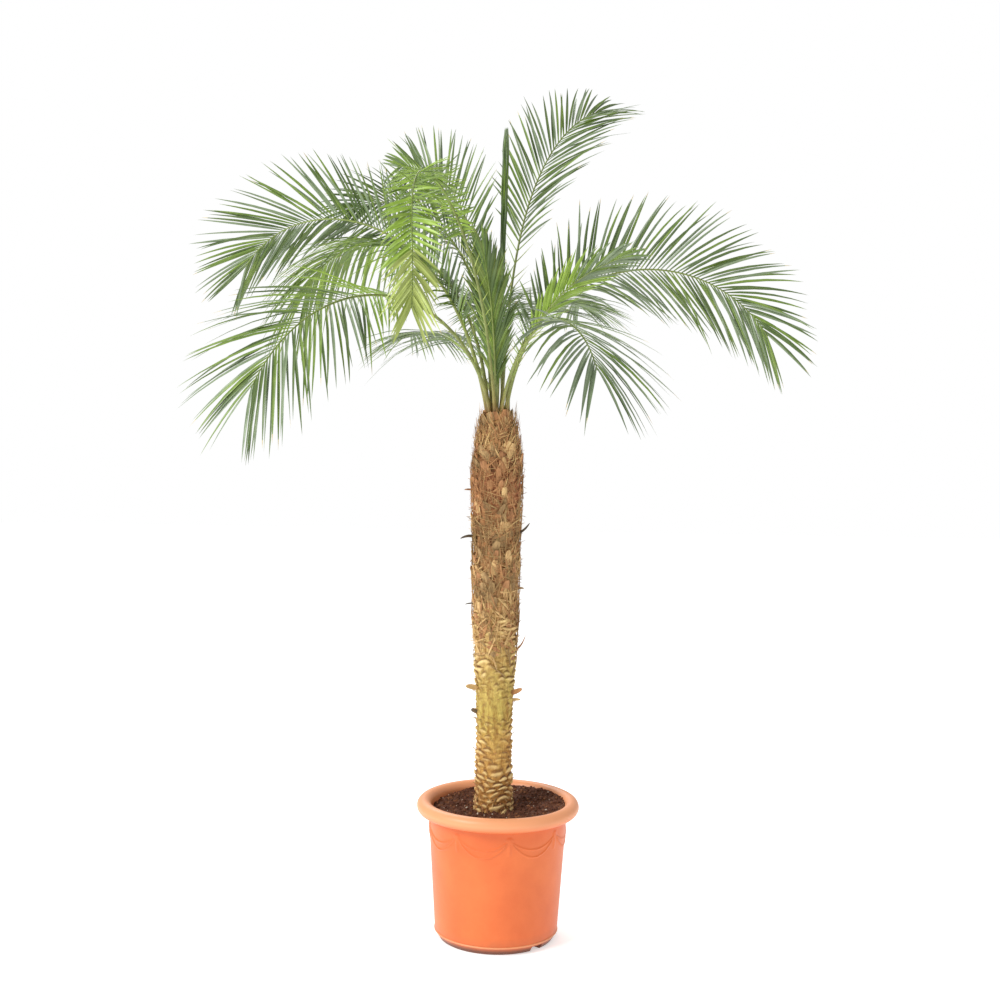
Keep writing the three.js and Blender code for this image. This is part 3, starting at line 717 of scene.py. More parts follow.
# Stubs and curls that stand out from the bark: height, bearing in degrees, length, breadth, curl and tint
STRAYS = (
    (0.794, 192, 0.034, 0.006, 0.5, DARK_FIBRE), (0.802, 350, 0.026, 0.005, -0.4, DARK_FIBRE),
    (0.884, 186, 0.020, 0.004, 0.3, 1), (0.662, 188, 0.022, 0.003, 0.4, DARK_FIBRE),
    (0.572, 352, 0.026, 0.004, -0.7, 1), (0.497, 200, 0.026, 0.011, 0.1, 0),
    (0.489, 338, 0.024, 0.010, -0.1, 1), (0.474, 346, 0.018, 0.006, 0.3, 0),
    (0.449, 186, 0.013, 0.009, 0.0, DARK_FIBRE), (0.690, 20, 0.022, 0.005, 0.4, 2),
    (0.620, 100, 0.028, 0.006, -0.5, 1), (0.820, 80, 0.030, 0.006, 0.5, 0))


def ring_blank(name, rings, point):
    """A blank to grow: rings of (along, [(across, above), ...]), with a point at the end or none."""
    sides = len(rings[0][1])
    places = [(along, across, above) for along, ring in rings for across, above in ring]
    last = len(places) - sides
    faces = [(sides - 1, i + 1, i) for i in range(sides - 2)] + ring_quads(last, sides)
    if point:
        places.append((1, 0, 0))
        faces += [(last + i, last + (i + 1) % sides, len(places) - 1) for i in range(sides)]
    else:
        faces += [(last + sides - 1, last + i, last + i + 1) for i in range(sides - 2)]
    mesh = new_mesh(name, places, faces)
    set_values(mesh, "blank", "FLOAT_VECTOR", places)
    return put(name, mesh)


def rod_blank(name, section, shape, point):
    """A blank that keeps its section all along, scaled by its shape."""
    rings = [(along, [(wide * y, deep * z) for y, z in section]) for along, wide, deep in shape]
    return ring_blank(name, rings, point)


def growth_tree():
    """Copies a blank to each root and bends it: along its heading, down by droop and sideways by sway."""
    inputs = {"Roots": "Geometry", "Blank": "Object"}
    inputs |= dict.fromkeys((*FINISH_NAMES, "Tip finish"), "Material")
    tree, given = new_group("growth", "GeometryNodeTree", inputs, {"Grown": "Geometry"})

    def read(name, data_type="FLOAT_VECTOR"):
        return add_node(tree, "GeometryNodeInputNamedAttribute", {"Name": name}, data_type=data_type)[0]

    def parts(vector):
        return add_node(tree, "ShaderNodeSeparateXYZ", {0: vector})

    def times(first, second):
        return reckoned(tree, "MULTIPLY", first, second)

    def moved(place, way, far):
        step = add_node(tree, "ShaderNodeVectorMath", {0: way, "Scale": far}, operation="SCALE")[0]
        return add_node(tree, "ShaderNodeVectorMath", {0: place, 1: step}, operation="ADD")[0]

    def finished(grown, chosen, finish):
        links = {"Geometry": grown, "Selection": chosen[0], "Material": given[finish]}
        return add_node(tree, "GeometryNodeSetMaterial", links)[0]

    blank = add_node(tree, "GeometryNodeObjectInfo", {"Object": given["Blank"]})
    copies = add_node(tree, "GeometryNodeInstanceOnPoints", {
        "Points": given["Roots"], "Instance": blank["Geometry"]})
    real = add_node(tree, "GeometryNodeRealizeInstances", {"Geometry": copies[0]})
    along, across, above = parts(read("blank"))
    length, breadth, dry = parts(read("size"))
    droop, sway, twist = parts(read("bend"))
    heading = read("heading")
    flat = add_node(tree, "ShaderNodeVectorRotate", {
        "Vector": read("flat"), "Axis": heading, "Angle": times(twist, along)},
        rotation_type="AXIS_ANGLE")[0]
    face = add_node(tree, "ShaderNodeVectorMath", {0: heading, 1: flat}, operation="CROSS_PRODUCT")[0]
    reach = times(length, along)
    bowed = times(reach, along)
    aside = reckoned(tree, "MULTIPLY_ADD", across, breadth, times(bowed, sway))
    place = moved(read("root"), heading, reach)
    place = moved(place, flat, aside)
    place = moved(place, face, times(above, breadth))
    place = moved(place, (0, 0, -1), times(bowed, droop))
    grown = add_node(tree, "GeometryNodeSetPosition", {"Geometry": real[0], "Position": place})[0]
    tint = read("tint", "INT")
    for number, finish in enumerate(FINISH_NAMES):
        links = {2: tint, 3: number}
        chosen = add_node(tree, "FunctionNodeCompare", links, data_type="INT", operation="EQUAL")
        grown = finished(grown, chosen, finish)
    withered = add_node(tree, "FunctionNodeCompare", {
        0: times(dry, along), 1: WITHERED_FROM}, data_type="FLOAT", operation="GREATER_THAN")
    add_node(tree, "NodeGroupOutput", {"Grown": finished(grown, withered, "Tip finish")})
    return tree


GROWTH = growth_tree()


def unit(vectors):
    return vectors / np.linalg.norm(vectors, axis=-1, keepdims=True)


def grow(name, blank, root, heading, flat, length, breadth, tint, finishes,
         dry=0.0, droop=0.0, sway=0.0, twist=0.0, tip=None):
    """The mesh of one blank grown from many roots. flat is the way that a blade's width lies."""
    mesh = new_mesh(name, root.tolist(), [])
    heading = unit(heading)
    flat = unit(flat - heading * np.sum(flat * heading, axis=-1, keepdims=True))
    size = columns(length, breadth, dry)
    bend = columns(droop, sway, twist)
    vectors = {"root": root, "heading": heading, "flat": flat, "size": size, "bend": bend}
    for label, values in vectors.items():
        set_values(mesh, label, "FLOAT_VECTOR", values)
    set_values(mesh, "tint", "INT", np.asarray(tint, dtype=np.int32))
    values = dict(zip(FINISH_NAMES, finishes)) | {"Blank": blank, "Tip finish": tip or finishes[0]}
    made = run_tree(name, mesh, GROWTH, values)
    made.shade_smooth()
    made.set_sharp_from_angle(angle=GROWN_SHARP)
    return made


def grow_on_trunk(name, *growth, **bends):
    add_piece(name, grow(name, *growth, **bends), "palm_bark", "trunk")


def bark_frame(share, turn):
    """A place on the bark, with the ways out of it, round it and up it."""
    root = trunk_point(share, turn, trunk_core(share) + BARK_LIFT)
    outward = columns(np.cos(turn), np.sin(turn), 0.0)
    around = columns(-np.sin(turn), np.cos(turn), 0.0)
    return root, outward, around, np.array([0.0, 0.0, 1.0])


def wood_finishes(name, tints):
    return [
        mottled_finish(f"{name} {i + 1}", light, dark, patches=120, grain=700, gloss=(0.75, 0.95),
                       relief=0.0006, stretch=(1, 1, 0.25))
        for i, (light, dark) in enumerate(tints)]


def patch_tints(root):
    """A tint for each root, 0 to 2, that neighbours mostly share: fibre weathers in patches."""
    patch = bark_noise(root, (30, 30, 24))
    red = np.exp(-((root[:, 2] - RED_BAND) / RED_BAND_HALF) ** 2)
    brown = np.exp(-((root[:, 2] - BROWN_BAND) / BROWN_BAND_HALF) ** 2)
    patch = patch + chance.normal(0, 0.16, len(root))
    weathered = patch < 0.25 * brown - 0.1 * red - 0.16
    return np.select([weathered, patch < 0.1 + 0.5 * red + 0.2 * brown], [2, 1], 0)


def lay_strands(name, blank, share, steep, slopes, lean, lift, lengths, breadths, clasps, twist):
    """Strands that lie on the bark and clasp it, a share of them steep and the rest slanting. slopes are
    the mean and the spread of both kinds, in radians."""
    number = share.size
    root, outward, around, upward = bark_frame(share, chance.uniform(0, 2 * math.pi, number))
    is_steep = chance.uniform(0, 1, number) < steep
    slope = np.where(is_steep, chance.normal(*slopes[0], number), chance.normal(*slopes[1], number))
    way = np.sign(chance.uniform(-1, 1, number))[:, None]
    heading = around * way * np.cos(slope)[:, None] + upward * np.sin(slope)[:, None] + outward * lean
    length = chance.uniform(*lengths, number)
    clasp = length * np.cos(slope) ** 2 / (2 * trunk_core(share))
    breadth = chance.uniform(*breadths, number)
    clasp = clasp * chance.uniform(*clasps, number)
    turned = chance.normal(0, twist, number) if twist else 0.0
    grow_on_trunk(
        name, blank, root + lift * outward, heading, -outward, length, breadth, patch_tints(root),
        fibre_finishes, sway=clasp, twist=turned)


def sprout(name, number, shares, ways, lengths, breadths, droops):
    """Short bits that stand out of the bark all round. ways() gives their headings."""
    share = chance.uniform(*shares, number)
    root, outward, around, upward = bark_frame(share, chance.uniform(0, 2 * math.pi, number))
    heading = ways(outward, around, upward)
    length = chance.uniform(*lengths, number)
    breadth = chance.uniform(*breadths, number)
    droop = chance.uniform(*droops, number)
    sway = chance.normal(0, 0.3, number)
    tint = chance.integers(0, DARK_FIBRE, number)
    grow_on_trunk(
        name, fibre_blank, root, heading, around, length, breadth, tint, fibre_finishes, droop=droop,
        sway=sway)


def tuft_ways(outward, around, upward):
    rise = chance.uniform(-0.2, 1.1, (TUFTS, 1))
    return outward + upward * rise + around * chance.normal(0, 0.5, (TUFTS, 1))


def root_ways(outward, around, upward):
    out = chance.uniform(0.1, 0.35, (ROOTS, 1))
    return outward * out - upward + around * chance.normal(0, 0.25, (ROOTS, 1))


boot_finishes = wood_finishes("boot", BOOT_TINTS)
fibre_finishes = wood_finishes("fibre", FIBRE_TINTS)

oval = [(math.cos(turn) / 2, math.sin(turn) / 2) for turn in np.radians(np.arange(0, 360, 45))]
boot_blank = rod_blank("boot", oval, BOOT_SHAPE, False)
rows, places = np.meshgrid(np.arange(round(BOOTS_BEGIN * SCAR_ROWS), SCAR_ROWS + 1), np.arange(SCARS_ROUND))
rows, places = rows.ravel(), places.ravel()
crowding = np.interp(rows / SCAR_ROWS, (BOOTS_BEGIN, BOOTS_FULL), BOOT_CROWDING)
kept = chance.uniform(0, 1, rows.size) < crowding
rows, places = rows[kept], places[kept]
share = np.clip((rows - 0.35 + chance.normal(0, 0.25, rows.size)) / SCAR_ROWS, 0.01, 0.985)
turn = (places + 0.5 + (rows % 2) / 2 + chance.normal(0, 0.14, rows.size)) / SCARS_ROUND * 2 * math.pi
root, outward, around, upward = bark_frame(share, turn + SCAR_TWIST * share)
lean = np.interp(share, UNDER_CROWN, BOOT_LEANS) + chance.uniform(-9, 9, rows.size)
lean = np.radians(lean)[:, None]
side = np.radians(chance.normal(0, 16, rows.size))[:, None]
heading = upward * np.cos(lean) + outward * np.sin(lean) + around * np.sin(side)
length = np.interp(share, (BOOTS_BEGIN, BOOTS_FULL, *UNDER_CROWN), BOOT_LENGTHS)
length = length * chance.uniform(0.5, 1, rows.size)
breadth = chance.uniform(*BOOT_BREADTHS, rows.size)
twist = chance.normal(0, 0.25, rows.size)
grow_on_trunk(
    "trunk_boots", boot_blank, root - 2 * BARK_LIFT * outward, heading, around, length, breadth,
    patch_tints(root), boot_finishes, twist=twist)

triangle = [(0.5 * math.cos(turn), 0.5 * math.sin(turn)) for turn in np.radians((90, 210, 330))]
fibre_blank = rod_blank("fibre", triangle, FIBRE_SHAPE, True)
lay_strands(
    "trunk_fibre", fibre_blank, share=np.sqrt(chance.uniform(0.18, 0.97, FIBRES)), steep=0.55,
    slopes=((1.45, 0.35), (0.3, 0.5)), lean=0.1, lift=0.003, lengths=(0.016, 0.045),
    breadths=(0.0007, 0.0014), clasps=(0.7, 1.3), twist=0)

edges = [(STRIP_THICKNESS / 2 * y, z / 2) for y, z in ((1, -1), (1, 1), (-1, 1), (-1, -1))]
strip_blank = rod_blank("strip", edges, STRIP_SHAPE, False)
lay_strands(
    "trunk_strips", strip_blank, share=0.34 + 0.63 * chance.uniform(0, 1, STRIPS) ** 0.75, steep=0.6,
    slopes=((1.4, 0.3), (0.65, 0.35)), lean=0.06, lift=0.0025, lengths=(0.016, 0.040),
    breadths=(0.0015, 0.0038), clasps=(0.6, 1.2), twist=0.3)

height, turn, length, breadth, curl, tint = np.array(STRAYS).T
share = (height - TRUNK_FOOT) / TRUNK_LENGTH
root, outward, around, upward = bark_frame(share, np.radians(turn))
grow_on_trunk(
    "trunk_strays", strip_blank, root - BARK_LIFT * outward, outward + 0.35 * upward, around, length,
    breadth, tint, fibre_finishes, droop=curl, sway=0.6 * curl, twist=0.8 * curl)

sprout("trunk_tufts", TUFTS, shares=(0.03, 0.97), ways=tuft_ways, lengths=(0.006, 0.016),
       breadths=(0.0008, 0.0018), droops=(-0.3, 0.4))
sprout("trunk_roots", ROOTS, shares=(0.004, 0.04), ways=root_ways, lengths=(0.007, 0.017),
       breadths=(0.003, 0.006), droops=(-0.2, 0.3))


# The fronds
# Fourteen feather leaves on slim green stalks, rooted in the trunk's crown and arching under their weight.
# Each rib carries two rows of narrow folded leaflets, and the foot of the stalk a few sharp spines.


@dataclass
class Frond:
    """A frond by the same rule as its solids, in degrees, metres and shares."""
    azimuth: float            # where its rib heads from the trunk
    launch: float             # how far above level it sets out
    bend: float               # how far it has turned down at its tip
    length: float
    hook: float = 1           # large where it turns down late
    sweep: float = 0          # how far it turns sideways
    roll: float = 0           # how far its blade is tipped
    vee: float = 20           # how far its leaflets are lifted
    droop: float = 0.16       # how much they hang
    spread: float = 1         # how wide they open from the rib
    closing: float = 2.4      # large where they close up to it late
    first: float = 0.36       # where on the rib they begin
    leaflet: float = 0.205    # length of the longest ones
    fullest: float = 0.4      # where these stand in their row
    ending: float = 0.55      # length of the last ones
    fill: float = 1           # how many stand where one would
    ruffle: float = 6         # how far they stray out of the blade
    inner: bool = False       # seated by the spear leaf
    split: bool = False       # stands for two solids
    greens: str = "leaf_mid"  # the mix of greens it takes, unless shades names one
    shades: str = ""          # its mix of greens, where not the one greens names
    freshest: float = 0       # leaflets before this take the last green of the mix
    paling: float = 1         # leaflets after this take it too
    seat: object = None       # where its rib leaves the trunk, set as it grows


FRONDS = {
    "frond_right": Frond(
        0, 92, 149, 0.705, roll=-62, vee=28, first=0.22, leaflet=0.200, split=True, greens="leaf_dark"),
    "frond_top_right": Frond(
        46, 86, 70, 0.715, hook=2.4, roll=30, spread=0.64, closing=3.4, first=0.46, leaflet=0.185,
        ending=0.62, inner=True, greens="leaf_dark", fill=0.76),
    "frond_back_right_low": Frond(
        70, 74, 86, 0.560, hook=0.8, vee=0, droop=0.3, first=0.45, leaflet=0.185),
    "frond_back": Frond(
        96, 74, 102, 0.560, spread=0.8, first=0.4, leaflet=0.170),
    "frond_back_low": Frond(
        113, 67, 73, 0.586, hook=0.45, sweep=-3, vee=0, droop=0.35, first=0.45, leaflet=0.180),
    "frond_top_left": Frond(
        135, 88, 88, 0.640, hook=2, roll=85, vee=25, spread=0.9, first=0.5, leaflet=0.155, ending=0.4,
        inner=True),
    "frond_back_left_high": Frond(
        160, 86, 116, 0.600, hook=2.2, roll=40, vee=15, droop=0.2, spread=0.9, first=0.42, leaflet=0.150),
    "frond_back_left": Frond(
        153, 83, 146, 0.665, hook=1.6, roll=10, vee=4, droop=0.5, spread=0.95, first=0.3, leaflet=0.205,
        split=True, fill=1.3, shades="soft"),
    "frond_left": Frond(
        170, 77, 136, 0.735, hook=1.75, roll=48, vee=26, droop=0.1, first=0.24, leaflet=0.182,
        fullest=0.68, ending=0.6, split=True, fill=1.15),
    "frond_young": Frond(
        250, 85, 26, 0.310, hook=1.6, roll=20, spread=0.36, first=0.15, leaflet=0.140, inner=True, fill=2,
        shades="heart"),
    "frond_left_low": Frond(
        226, 75, 137, 0.720, hook=0.95, sweep=-3, roll=-25, vee=5, droop=0.22, spread=0.95, first=0.46,
        leaflet=0.215, split=True, greens="leaf_dark", fill=0.87, shades="tipped", freshest=0.24),
    "frond_front": Frond(
        241, 79, 182, 0.955, hook=1.72, sweep=47, vee=4, droop=0.1, spread=1.35, closing=4, first=0.38,
        leaflet=0.053, ending=1.3, split=True, greens="leaf_bright", paling=0.84, fill=1.7, ruffle=24),
    "frond_front_right": Frond(
        292, 69, 113, 0.570, hook=0.92, sweep=-8, roll=-8, vee=5, droop=0.3, spread=0.9, first=0.54,
        leaflet=0.195, split=True, greens="leaf_dark", fill=0.77, shades="dusty"),
    "frond_right_young": Frond(
        336, 80, 66, 0.400, hook=1.3, roll=-50, vee=20, spread=0.5, first=0.42, leaflet=0.110,
        greens="leaf_bright", shades="fading", freshest=0.5),
}
FROND_SEED = 100
OUTER_SEAT_RADIUS = 0.0188
INNER_SEAT_RADIUS = 0.0095
FIRST_SEAT = math.radians(-6)
ROLL_FULL = 0.6
RIB_STEPS = 90
RIB_POINTS = 64
RIB_SECTION_SIDES = 10
RIB_TIP_WIDTH = 0.0022
PETIOLE_WIDTH = 0.008
PETIOLE_FOOT = 0.012
PETIOLE_SWELL = 0.55
PETIOLE_SWELL_LENGTH = 0.02
LEAFLET_SPACING = 0.0078
LEAFLET_BREADTH = 0.0054
LEAFLET_ANGLE_FOOT = 60
LEAFLET_ANGLE_TIP = 17
LEAFLET_FOOT_SHARE = 0.5
LEAFLET_FOLD = 0.5
LEAFLET_THICKNESS = 0.09
LEAFLET_SHAPE = ((0, 0.38), (0.05, 0.55), (0.17, 0.86), (0.36, 1), (0.58, 0.9), (0.78, 0.62), (0.92, 0.28))
DRY_SHARE = 0.22
RUFFLE_MOST = 52
SPINES_BEGIN = 0.14
SPINE_SPACING = 0.024
SPINE_BREADTH = 0.0024
SPINE_LENGTHS = (0.018, 0.078)
SPINE_SHAPE = ((0, 1, 1), (0.5, 0.7, 0.7))

STALK_COLOURS = (
    (0.0, (150, 112, 66)), (0.035, (158, 150, 88)), (0.12, (138, 148, 86)), (0.45, (138, 152, 84)),
    (1.0, (124, 146, 70)))
LEAF_TINTS = {
    "deep": ((96, 116, 60), (70, 92, 44)),
    "grey": ((132, 148, 114), (102, 120, 86)),
    "mid": ((120, 144, 62), (88, 114, 42)),
    "olive": ((118, 134, 54), (84, 104, 36)),
    "fresh": ((148, 176, 68), (116, 146, 44)),
    "pale": ((178, 190, 108), (148, 164, 80)),
}
LEAF_MIXES = {
    "leaf_dark": ("deep", "grey", "mid", "grey"),
    "leaf_mid": ("mid", "deep", "grey", "mid"),
    "leaf_bright": ("fresh", "mid", "fresh", "pale"),
    "heart": ("mid", "olive", "deep", "olive"),
    "dusty": ("grey", "mid", "grey", "grey"),
    "soft": ("fresh", "mid", "mid", "pale"),
    "tipped": ("deep", "grey", "mid", "fresh"),
    "fading": ("grey", "mid", "grey", "fresh"),
}
LAST_GREEN = 3


def rib_frame(frond, share):
    """Way ahead along the rib, and the upper and left side of its blade, at shares of its length."""
    share = np.asarray(share, dtype=float)
    climb = np.radians(frond.launch - frond.bend * np.clip(share, 0, 1) ** frond.hook)
    around = np.radians(frond.azimuth + frond.sweep * share ** 2)
    ahead = columns(np.cos(climb) * np.cos(around), np.cos(climb) * np.sin(around), np.sin(climb))
    level = columns(-np.sin(climb) * np.cos(around), -np.sin(climb) * np.sin(around), np.cos(climb))
    roll = (math.radians(frond.roll) * np.clip(share / ROLL_FULL, 0, 1))[..., None]
    up = level * np.cos(roll) + np.cross(ahead, level) * np.sin(roll)
    return ahead, up, np.cross(up, ahead)


def rib_line(frond, share):
    """Points on the rib at shares of its length."""
    ahead = rib_frame(frond, (np.arange(RIB_STEPS) + 0.5) / RIB_STEPS)[0]
    line = np.vstack([frond.seat, frond.seat + np.cumsum(ahead, axis=0) * frond.length / RIB_STEPS])
    steps = np.linspace(0, 1, RIB_STEPS + 1)
    return columns(*[np.interp(share, steps, line[:, axis]) for axis in range(3)])


def rib_tree():
    """A stalk along a path: its half width and its upper side are read from the path's own points."""
    inputs = {"Path": "Geometry", "Section": "Object", "Finish": "Material"}
    tree, given = new_group("stalk along path", "GeometryNodeTree", inputs, {"Stalk": "Geometry"})
    path = add_node(tree, "GeometryNodeMeshToCurve", {"Mesh": given["Path"]})
    upper = add_node(tree, "GeometryNodeInputNamedAttribute", {"Name": "upper"}, data_type="FLOAT_VECTOR")
    facing = add_node(tree, "GeometryNodeSetCurveNormal", {
        "Curve": path[0], "Normal": upper[0]}, mode="FREE")
    half = add_node(tree, "GeometryNodeInputNamedAttribute", {"Name": "half"}, data_type="FLOAT")
    section = add_node(tree, "GeometryNodeObjectInfo", {"Object": given["Section"]})
    outline = add_node(tree, "GeometryNodeMeshToCurve", {"Mesh": section["Geometry"]})
    stalk = add_node(tree, "GeometryNodeCurveToMesh", {
        "Curve": facing[0], "Profile Curve": outline[0], "Scale": half[0], "Fill Caps": True})
    finish_tree(tree, stalk[0], given["Finish"], "Stalk")
    return tree


RIBS = rib_tree()


def grow_rib(name, line, upper, half, share):
    mesh = new_mesh(name, line.tolist(), [], [(i, i + 1) for i in range(len(line) - 1)])
    set_values(mesh, "upper", "FLOAT_VECTOR", upper)
    set_values(mesh, "half", "FLOAT", half)
    set_values(mesh, "share", "FLOAT", share)
    made = run_tree(name, mesh, RIBS, {"Section": rib_section, "Finish": stalk_finish})
    made.shade_smooth()
    return made


def rib_finish():
    """Smooth stalk skin: brown at its sheathed foot, yellow-green above and leaf green at the tip."""
    material, tree, place = start_finish("leaf stalk")
    green = colour_ramp(tree, attribute(tree, "share"), STALK_COLOURS)
    skin = mottled(
        tree, place, (255, 255, 245), (206, 202, 180), patches=60, grain=600, gloss=(0.34, 0.52))
    colour = blended(tree, 1.0, green, skin["Colour"], blend_type="MULTIPLY")
    end_finish(tree, colour, skin, relief=0.0002)
    return material


def frond_rib(name, frond):
    """The stalk and rib of a frond, from inside the crown to its tip, swollen at its foot."""
    share = np.linspace(0, 1, RIB_POINTS)
    ahead, up, left = rib_frame(frond, share)
    line = rib_line(frond, share)
    line = np.vstack([line[0] - PETIOLE_FOOT * ahead[0], line])
    half = (PETIOLE_WIDTH + (RIB_TIP_WIDTH - PETIOLE_WIDTH) * share ** 0.9) / 2
    half = half * (1 + PETIOLE_SWELL * np.exp(-share * frond.length / PETIOLE_SWELL_LENGTH))
    return grow_rib(name, line, np.vstack([up[:1], up]), np.append(half[0], half), np.append(0.0, share))


def frond_leaflets(name, frond, luck):
    """Both rows of a frond's leaflets, each a little out of line, some with a dry tip."""
    pairs = round(frond.length * (1 - frond.first) / LEAFLET_SPACING * frond.fill)
    number = 2 * pairs
    side = np.tile([1.0, -1.0], pairs)
    along = np.repeat(np.arange(pairs), 2) + 0.25 + 0.2 * side + luck.uniform(-0.12, 0.12, number)
    along = np.clip(along / pairs, 0, 1)
    share = frond.first + (1 - frond.first) * along
    ahead, up, left = rib_frame(frond, share)
    low = 1 + (LEAFLET_FOOT_SHARE - 1) * (1 - along / frond.fullest) ** 2
    high = 1 + (frond.ending - 1) * ((along - frond.fullest) / (1 - frond.fullest)) ** 2
    length = frond.leaflet * np.where(along < frond.fullest, low, high) * luck.uniform(0.9, 1.02, number)
    angle = LEAFLET_ANGLE_FOOT + (LEAFLET_ANGLE_TIP - LEAFLET_ANGLE_FOOT) * along ** frond.closing
    angle = np.radians(frond.spread * angle + luck.normal(0, 2.2, number))[:, None]
    tilt = np.clip(luck.normal(0, frond.ruffle, number), -RUFFLE_MOST, RUFFLE_MOST)
    length = length / np.cos(np.radians(tilt))
    rise = np.radians(frond.vee * (1 - 0.5 * along) + tilt)[:, None]
    heading = ahead * np.cos(angle) + left * side[:, None] * np.sin(angle) * np.cos(rise)
    heading = heading + up * np.sin(angle) * np.sin(rise)
    breadth = LEAFLET_BREADTH * luck.uniform(0.85, 1.1, number)
    dry = 1.0 * (luck.uniform(0, 1, number) < DRY_SHARE)
    droop = frond.droop * luck.uniform(0.75, 1.3, number)
    sway = luck.normal(0, 0.03, number)
    twist = luck.normal(0, 0.35, number)
    mixed = (along > frond.freshest) & (along < frond.paling)
    tint = np.where(mixed, luck.integers(0, LAST_GREEN, number), LAST_GREEN)
    finishes = [leaf_finishes[green] for green in LEAF_MIXES[frond.shades or frond.greens]]
    return grow(
        name, leaflet_blank, rib_line(frond, share), heading, -side[:, None] * ahead, length, breadth, tint,
        finishes, dry, droop, sway, twist, straw_finish)


def frond_spines(name, frond, pairs, luck):
    """Sharp spines on both sides of the stalk, below the leaflets."""
    number = 2 * pairs
    side = np.tile([1.0, -1.0], pairs)
    along = (np.repeat(np.arange(pairs), 2) + luck.uniform(0, 0.6, number)) / pairs
    share = SPINES_BEGIN + (frond.first - SPINES_BEGIN) * along
    ahead, up, left = rib_frame(frond, share)
    length = SPINE_LENGTHS[0] + (SPINE_LENGTHS[1] - SPINE_LENGTHS[0]) * along
    length = length * luck.uniform(0.7, 1.15, number)
    heading = ahead + left * side[:, None] * luck.uniform(0.5, 1.0, (number, 1))
    heading = heading + up * luck.uniform(-0.2, 0.6, (number, 1))
    sway = luck.normal(0, 0.05, number)
    finishes = [leaf_finishes["fresh"], leaf_finishes["pale"]]
    tint = luck.integers(0, len(finishes), number)
    return grow(
        name, spine_blank, rib_line(frond, share), heading, up, length, SPINE_BREADTH, tint, finishes,
        sway=sway)


leaf_finishes = {
    tint: mottled_finish(
        f"leaf {tint}", light, dark, patches=26, grain=340, gloss=(0.36, 0.5), relief=0.0002)
    for tint, (light, dark) in LEAF_TINTS.items()}
straw_finish = mottled_finish(
    "dry leaf tip", (204, 190, 132), (168, 146, 92), patches=60, grain=500, gloss=(0.6, 0.8), relief=0.0002)
stalk_finish = rib_finish()

# A stalk's section is a flattened round with a channel along its upper side.
section_points = []
for turn in 2 * math.pi * np.arange(RIB_SECTION_SIDES) / RIB_SECTION_SIDES:
    x, y = math.cos(turn), 0.78 * math.sin(turn)
    section_points.append((x, y - (0.3 if y > 0.6 and abs(x) < 0.5 else 0), 0))
section_edges = [(i, (i + 1) % RIB_SECTION_SIDES) for i in range(RIB_SECTION_SIDES)]
rib_section = put("rib_section", new_mesh("rib_section", section_points, [], section_edges))

# A leaflet is folded along its middle, less so towards its tip.
leaflet_rings = []
for along, wide in LEAFLET_SHAPE:
    edge = LEAFLET_FOLD * (1 - 0.6 * along) * wide / 2
    keel = -LEAFLET_THICKNESS * (1 - 0.5 * along)
    leaflet_rings.append((along, [(-wide / 2, edge), (0, keel), (wide / 2, edge), (0, 0)]))
leaflet_blank = ring_blank("leaflet", leaflet_rings, True)
spine_blank = rod_blank("spine", triangle, SPINE_SHAPE, True)

outer_fronds = [name for name, frond in FRONDS.items() if not frond.inner]
crown = np.array([CROWN_X, 0.0, TRUNK_TOP])
for number, (name, frond) in enumerate(FRONDS.items()):
    nodes = [f"{name}_inner", f"{name}_outer"] if frond.split else [name]
    turn = math.radians(frond.azimuth)
    radius = INNER_SEAT_RADIUS
    if name in outer_fronds:
        turn = FIRST_SEAT + 2 * math.pi / len(outer_fronds) * outer_fronds.index(name)
        radius = OUTER_SEAT_RADIUS
    frond.seat = crown + radius * np.array([math.cos(turn), math.sin(turn), 0.0])
    luck = np.random.default_rng(FROND_SEED + number)
    add_piece(f"{name}_rib", frond_rib(f"{name}_rib", frond), frond.greens, *nodes)
    leaflets = frond_leaflets(f"{name}_leaflets", frond, luck)
    add_piece(f"{name}_leaflets", leaflets, frond.greens, *nodes)
    spine_pairs = int(frond.length * (frond.first - SPINES_BEGIN) / SPINE_SPACING)
    if spine_pairs:
        spines = frond_spines(f"{name}_spines", frond, spine_pairs, luck)
        add_piece(f"{name}_spines", spines, frond.greens, *nodes)


# The spear leaf
# The youngest leaf, still closed: a slim green rod of leaflets folded tight against their rib.
# It stands upright in the middle of the crown and leans a little to the right.

spear_low, spear_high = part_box("spear_leaf")
SPEAR_LENGTH = spear_high[2] - TRUNK_TOP
SPEAR_LEAN = 0.008
SPEAR_RIB_END = 0.93
SPEAR_RIB_POINTS = 40
SPEAR_LEAFLETS = 34
SPEAR_LEAFLETS_BEGIN, SPEAR_LEAFLETS_END = 0.4, 0.88
SPEAR_LEAFLET_LONGEST = 0.15
SPEAR_GREENS = ("mid", "deep", "grey", "deep")
SPEAR_SEED = 300
GOLDEN_TURN = math.radians(137.5)

share = np.linspace(0, SPEAR_RIB_END, SPEAR_RIB_POINTS)
rise = TRUNK_TOP - PETIOLE_FOOT + (SPEAR_LENGTH + PETIOLE_FOOT) * share
half = np.interp(share, (0, 0.4, 0.75, SPEAR_RIB_END), (0.0042, 0.0040, 0.0028, 0.0012))
upper = np.tile([0.0, -1.0, 0.0], (len(share), 1))
spear_rib = grow_rib("spear_rib", columns(CROWN_X + SPEAR_LEAN * share, 0.0, rise), upper, half, share)
add_piece("spear_rib", spear_rib, "leaf_bright", "spear_leaf")

